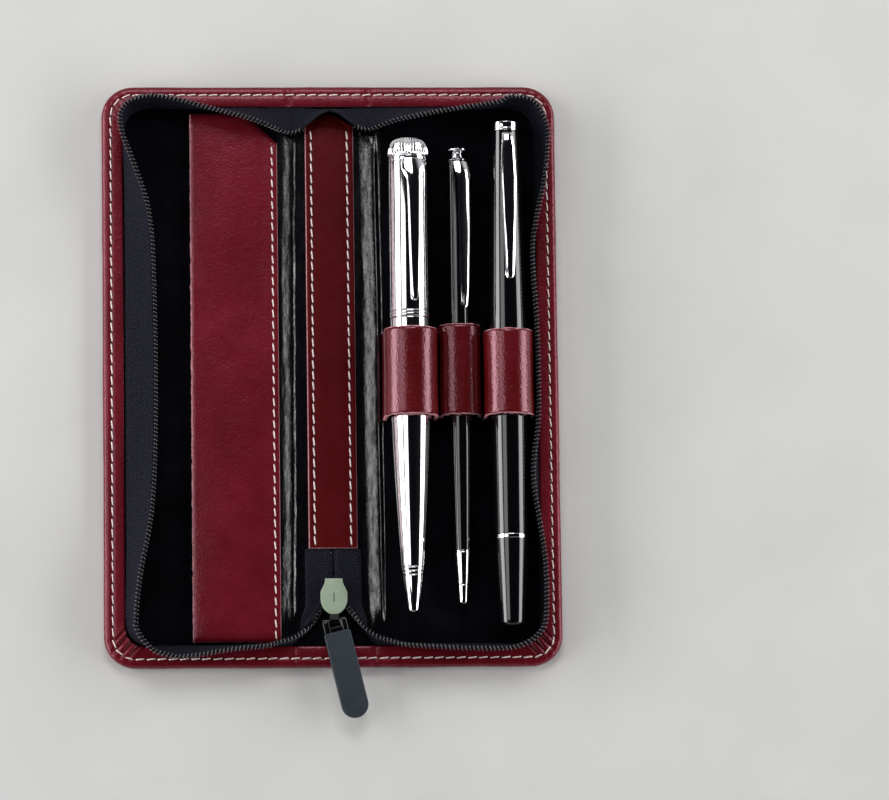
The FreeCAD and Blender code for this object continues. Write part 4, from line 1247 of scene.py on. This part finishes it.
def turned(name, pen, profile, material, radius, segments, reshape=None, hollow=False):
    """Turned piece about a pen's axis, with rounded corners."""
    rings = []
    for y, r in rounded(profile, radius):
        ring = []
        for number in range(segments):
            angle = 2 * math.pi * number / segments
            reach = reshape(y, r, angle) if reshape else r
            ring.append(Vector((pen["x"] + reach * math.cos(angle), y, pen["z"] + reach * math.sin(angle))))
        rings.append(ring)
    made = tidy_normals(loft(name, rings, material, caps=not hollow))
    crisp_edges(made, 50)
    return made


def add_parts(family, pen, segments, rows, **shape):
    """Turned pieces of one pen from rows of (name, node's ending, finish, corner radius, profile)."""
    for name, ending, slot, radius, profile in rows:
        made = turned(family + "_" + name, pen, profile, FINISHES[slot], radius, segments, **shape)
        body = family + ("_pen_lower" if ending in ("lower_barrel", "nose") else "_pen")
        finish_piece(made, body, slot, family + "_pen_" + ending)


def add_clip(family, pen, stations, turn):
    """Sprung clip with bright chamfers, turned about the pen by some degrees."""
    rings = []
    for y, half, rise, thick, bulge in stations:
        wide, tall = min(0.6, half * 0.45), min(0.36, thick * 0.5)
        top = rise + thick
        right = [(half - 0.1 * half, rise), (half, rise + 0.1 * thick), (half, top - tall),
                 (half - wide * 0.5, top - tall * 0.42), (half - wide, top),
                 (half * 0.55, top + bulge * 0.55), (half * 0.2, top + bulge * 0.95)]
        rings.append([Vector((x, y, z)) for x, z in right + [(-x, z) for x, z in reversed(right)]])
    made = tidy_normals(loft(family + "_clip", rings, CHROME))
    about = Matrix.Rotation(math.radians(turn), 4, "Y")
    made.data.transform(Matrix.Translation(Vector((pen["x"], 0, pen["z"])) * MM) @ about)
    crisp_edges(made, 22)
    finish_piece(made, family + "_pen", "chrome", family + "_pen_clip")


def ends_of(node):
    low, high = box_mm(node)
    return low.y, high.y


def axis_of(node):
    low, high = box_mm(node)
    return {"x": (low.x + high.x) / 2, "z": (low.z + high.z) / 2}


def add_refill(family, pen, tip):
    profile = from_place(tip, (0.2, 0.05), (0.25, 0.4), (0.6, 0.55), (7.4, 0.55), (7.6, 1.1))
    made = turned(family + "_refill_tube", pen, profile + [(8.0, 1.1), (8.0, 0.05)], BRASS, 0.1, 32)
    finish_piece(made, family + "_refill", "refill_metal", family + "_pen_refill")


def build_chrome_pen():
    base, top = ends_of("chrome_pen_crown")
    ring_low, ring_top = ends_of("chrome_pen_ring")
    tip, cone = ends_of("chrome_pen_nose")
    joint = ends_of("chrome_pen_lower_barrel")[1]
    clip_end, clip_top = ends_of("chrome_pen_clip")
    pen = axis_of("chrome_pen_ring")
    flutes = 40

    def fluted(y, r, angle):
        share = smooth_step(base + 1.7, base + 2.4, y) * (1 - smooth_step(top - 0.7, top - 0.1, y))
        return r * (1 - 0.05 * share * (0.5 - 0.5 * math.cos(flutes * angle)) ** 0.8)

    crown = from_place(base, (0, CORE), (0, 5.5), (0.15, 5.7), (1.3, 5.7), (1.4, 5.45), (1.55, 5.45),
                       (1.7, 5.85), (2.6, 5.85), (4.0, 5.65), (5.2, 5.25), (6.2, 4.65))
    crown += from_place(top, (-0.2, 3.9), (0, 3.2), (0, CORE))
    upper = from_place(ring_top, (0, CORE), (0, 5.6), (0.2, 5.75))
    upper += from_place(base, (-0.2, 5.75), (0, 5.55), (0, CORE))
    ring = from_place(ring_low, (0, CORE), (0, 5.7), (0.3, 5.9), (0.75, 5.9), (0.85, 5.72))
    ring += from_place(ring_top, (-0.85, 5.72), (-0.75, 5.9), (-0.3, 5.9), (0, 5.7), (0, CORE))
    lower = from_place(cone, (0, 1.4), (0, 3.4), (0.15, 3.45), (10, 4.12), (20, 4.75), (31, 5.3))
    lower += [(-14.0, 5.75)] + from_place(joint, (-0.2, 5.75), (0, 5.6), (0, 1.4))
    nose = from_place(tip, (0, 0.7), (0, 1.4), (0.4, 1.58))
    nose += from_place(cone, (-2.6, 3.02), (-2.4, 2.9), (-2.2, 3.08), (-1.5, 3.18), (-1.3, 3.02),
                       (-1.1, 3.22), (-0.4, 3.38), (-0.2, 3.2), (0, 3.4), (0, 1.6))
    nose += from_place(tip, (2.8, 1.4), (1.8, 0.75), (0, 0.7))
    add_parts("chrome", pen, 240, [("crown", "crown", "chrome", 0.3, crown)], reshape=fluted)
    add_parts("chrome", pen, 96, [("upper", "upper_barrel", "chrome", 0.15, upper),
                                  ("ring", "ring", "chrome", 0.12, ring),
                                  ("lower", "lower_barrel", "chrome", 0.4, lower)])
    add_parts("chrome", pen, 96, [("nose", "nose", "chrome", 0.1, nose)], hollow=True)
    head = clip_top + 2.6
    clip = from_place(head, (0, 2.2, 5.2, 0.5, 0.2), (-0.35, 2.9, 5.1, 0.75, 0.4),
                      (-1.6, 3.35, 5.0, 1.1, 0.5), (-3.2, 3.3, 5.0, 1.45, 0.5), (-4.6, 2.7, 5.1, 1.75, 0.4),
                      (-5.8, 2.2, 5.5, 1.6, 0.2), (-6.8, 2.05, 6.0, 1.3, 0.03), (-20.6, 1.8, 6.6, 0.8, 0.03))
    clip += from_place(clip_end, (5.0, 1.4, 6.5, 0.8, 0.03), (2.4, 1.3, 6.1, 0.8, 0.1),
                       (1.0, 1.15, 5.95, 0.85, 0.2), (0.25, 0.8, 6.05, 0.7, 0.1), (0, 0.35, 6.2, 0.4, 0.0))
    add_clip("chrome", pen, clip, 11.0)
    add_refill("chrome", pen, tip)
    return pen


def build_slim_pen():
    top = ends_of("slim_pen_finial")[1]
    ring_low, ring_top = ends_of("slim_pen_finial_ring")
    joint = ends_of("slim_pen_upper_barrel")[0]
    lower_top = ends_of("slim_pen_lower_barrel")[1]
    tip, cone = ends_of("slim_pen_nose")
    clip_end, clip_top = ends_of("slim_pen_clip")
    pen = axis_of("slim_pen_upper_barrel")
    finial = from_place(ring_top, (0, CORE), (0, 1.74), (0.75, 1.74), (0.85, 2.1))
    finial += from_place(top, (-0.5, 3.05), (-0.1, 3.1), (0, 2.9), (0, CORE))
    ring = from_place(ring_low, (0, CORE), (0, 3.2), (0.15, 3.25))
    ring += from_place(ring_top, (-0.1, 2.6), (0, 2.4), (0, CORE))
    upper = from_place(joint, (0, CORE), (0, 3.1), (0.15, 3.2))
    upper += from_place(ring_low, (-0.1, 3.2), (0, 3.1), (0, CORE))
    lower = from_place(cone, (0, 1.4), (0, 2.45), (0.1, 2.5), (14, 2.88), (30, 3.2))
    lower += from_place(lower_top, (-0.1, 3.2), (0, 3.1), (0, 1.4))
    nose = from_place(tip, (0, 0.7), (0, 1.15), (0.4, 1.33), (5.0, 1.7), (5.2, 1.62), (5.4, 1.74))
    nose += from_place(cone, (-0.6, 2.45), (-0.4, 2.35), (0, 2.48), (0, 1.5))
    nose += from_place(tip, (4.6, 1.3), (3.6, 0.75), (0, 0.7))
    add_parts("slim", pen, 64, [("finial", "finial", "chrome", 0.08, finial),
                                ("finial_ring", "finial_ring", "chrome", 0.08, ring),
                                ("upper", "upper_barrel", "black_lacquer", 0.1, upper),
                                ("lower", "lower_barrel", "black_lacquer", 0.3, lower)])
    add_parts("slim", pen, 64, [("nose", "nose", "chrome", 0.1, nose)], hollow=True)
    clip = from_place(clip_top, (0, 2.1, 2.8, 0.4, 0.2), (-0.3, 2.6, 2.8, 0.7, 0.5),
                      (-2.0, 2.75, 2.9, 1.1, 0.6), (-4.2, 2.5, 3.1, 1.4, 0.5), (-5.8, 1.95, 3.7, 1.1, 0.1),
                      (-18, 1.9, 4.0, 0.8, 0.03), (-29, 1.6, 4.0, 0.8, 0.03))
    clip += from_place(clip_end, (5.0, 1.3, 3.95, 0.75, 0.03), (2.2, 1.15, 3.6, 0.75, 0.1),
                       (0.8, 1.0, 3.45, 0.75, 0.2), (0, 0.5, 3.6, 0.4, 0.0))
    add_clip("slim", pen, clip, 22.0)
    add_refill("slim", pen, tip)
    return pen


def build_capped_pen():
    low, top = ends_of("capped_pen_ring")
    mouth = ends_of("capped_pen_cap")[0]
    a, b = ends_of("capped_pen_barrel_ring")
    end = ends_of("capped_pen_tail")[0]
    clip_end, clip_top = ends_of("capped_pen_clip")
    pen = axis_of("capped_pen_cap")
    top_ring = from_place(low, (0, CORE), (0, 3.85), (0.1, 3.95), (0.5, 3.95), (0.6, 3.82), (0.8, 3.82),
                          (0.9, 3.92))
    top_ring += from_place(top, (-0.3, 3.9), (0, 3.6), (0, CORE))
    cap = from_place(mouth, (0, CORE), (0, 5.5), (0.3, 5.65))
    cap += from_place(low, (-20, 4.62), (-0.1, 3.95), (0, 3.85), (0, CORE))
    barrel = [(b, CORE), (b, 4.85)] + from_place(mouth, (-0.1, 5.4), (0, 5.3), (0, CORE))
    ring = from_place(a, (0, CORE), (0, 4.85), (0.15, 4.93))
    ring += from_place(b, (-0.15, 4.93), (0, 4.85), (0, CORE))
    tail = from_place(end, (0, CORE), (0, 2.2), (0.3, 3.1), (1.2, 3.65))
    tail += from_place(a, (-0.05, 4.85), (0, 4.8), (0, CORE))
    add_parts("capped", pen, 80, [("top_ring", "ring", "chrome", 0.08, top_ring)])
    add_parts("capped", pen, 96, [("cap", "cap", "black_lacquer", 0.2, cap),
                                  ("barrel", "barrel", "black_lacquer", 0.1, barrel)])
    add_parts("capped", pen, 80, [("barrel_ring", "barrel_ring", "chrome", 0.08, ring),
                                  ("tail", "tail", "black_lacquer", 0.5, tail)])
    clip = from_place(clip_top, (0, 1.2, 3.4, 0.6, 0.1), (-0.3, 1.6, 3.4, 1.5, 0.2),
                      (-1.2, 1.6, 3.6, 1.7, 0.2), (-3.2, 1.7, 3.9, 1.6, 0.1), (-4.6, 1.85, 4.7, 0.85, 0.03),
                      (-13.5, 2.2, 5.2, 0.8, 0.03), (-24, 1.9, 5.5, 0.75, 0.03))
    clip += from_place(clip_end, (8, 1.5, 5.75, 0.75, 0.03), (2.4, 1.3, 5.5, 0.8, 0.1),
                       (1.2, 1.3, 5.35, 0.9, 0.3), (0.3, 0.9, 5.4, 0.8, 0.2), (0, 0.4, 5.6, 0.4, 0.0))
    add_clip("capped", pen, clip, 4.0)
    return pen


# Studio
FLOOR_HALF = 3.0
FLOOR_Z = -0.35
LAMPS = [("key", (0.0, 0.8, 1.0), (0.7, 0.5), 5.9),
         ("left_wall", (-0.95, 0.0, 0.33), (1.2, 0.5), 10.5),
         ("right_wall", (0.9, 0.0, 0.36), (1.2, 0.45), 8.0),
         ("left_roof", (-0.68, 0.1, 0.94), (0.55, 0.5), 1.9)]
PALE = (0.55, 0.55, 0.56)
CAMERA_TURN = (-19.604, 79.7455, 19.099)
CAMERA_TARGET = (0.03243, -0.00697, 0)
CAMERA_DISTANCE = 1.7863
CAMERA_LENS = 253.4


def sky(world):
    """Pale near the horizon and below it, dark overhead, so that flat gloss stays deep."""
    tree = world.node_tree
    place = add_node(tree, "ShaderNodeTexCoord")
    split = add_node(tree, "ShaderNodeSeparateXYZ", [(place.outputs["Generated"], "Vector")])
    shade = ramp(tree, split.outputs["Z"], [(0.0, PALE), (0.42, PALE), (0.62, (0.01, 0.01, 0.012)),
                                            (1.0, (0.004, 0.003, 0.005))])
    tree.links.new(shade, tree.nodes["Background"].inputs["Color"])


def build_stage():
    size = FLOOR_HALF / MM
    corners = [(x * size, y * size, FLOOR_Z) for x, y in ((-1, -1), (1, -1), (1, 1), (-1, 1))]
    paper = moulded("floor_paper", (0.60, 0.595, 0.58), (0.64, 0.635, 0.625), 0.7, 300)
    mesh_object("floor", corners, [(0, 1, 2, 3)], [paper])
    world = bpy.data.worlds.new("studio")
    world.use_nodes = True
    sky(world)
    bpy.context.scene.world = world
    for name, place, size, power in LAMPS:
        lamp = bpy.data.lights.new(name, "AREA")
        lamp.shape = "RECTANGLE"
        lamp.size, lamp.size_y = size
        lamp.energy = power
        made = put_in_scene(name, lamp)
        made.location = place
        made.rotation_euler = (-Vector(place)).to_track_quat("-Z", "Y").to_euler()
        made.visible_camera = False


def build_camera():
    """Camera high over the case, a little towards its zip tail and its left side."""
    azimuth, elevation, roll = map(math.radians, CAMERA_TURN)
    back = Vector((math.sin(azimuth) * math.cos(elevation), -math.cos(azimuth) * math.cos(elevation),
                   math.sin(elevation)))
    right = Vector((math.cos(azimuth), math.sin(azimuth), 0))
    up = back.cross(right)
    across = right * math.cos(roll) + up * math.sin(roll)
    over = up * math.cos(roll) - right * math.sin(roll)
    made = put_in_scene("camera", bpy.data.cameras.new("camera"))
    made.data.lens = CAMERA_LENS
    place = Matrix.Translation(Vector(CAMERA_TARGET) + back * CAMERA_DISTANCE)
    made.matrix_world = place @ Matrix((across, over, back)).transposed().to_4x4()
    bpy.context.scene.camera = made


build_camera()
build_stage()
build_skins()
build_linings()
build_ribbons()
build_strip()
build_panel()
build_loops([build_chrome_pen(), build_slim_pen(), build_capped_pen()])
build_stitches()
build_tail()
build_slider()
build_pull()
for board in ("left_cover_board", "spine_board", "right_cover_board"):
    materials = frame["nodes"][board].data.materials
    materials.clear()
    materials.append(CARD)

bpy.context.scene.view_settings.view_transform = "Standard"
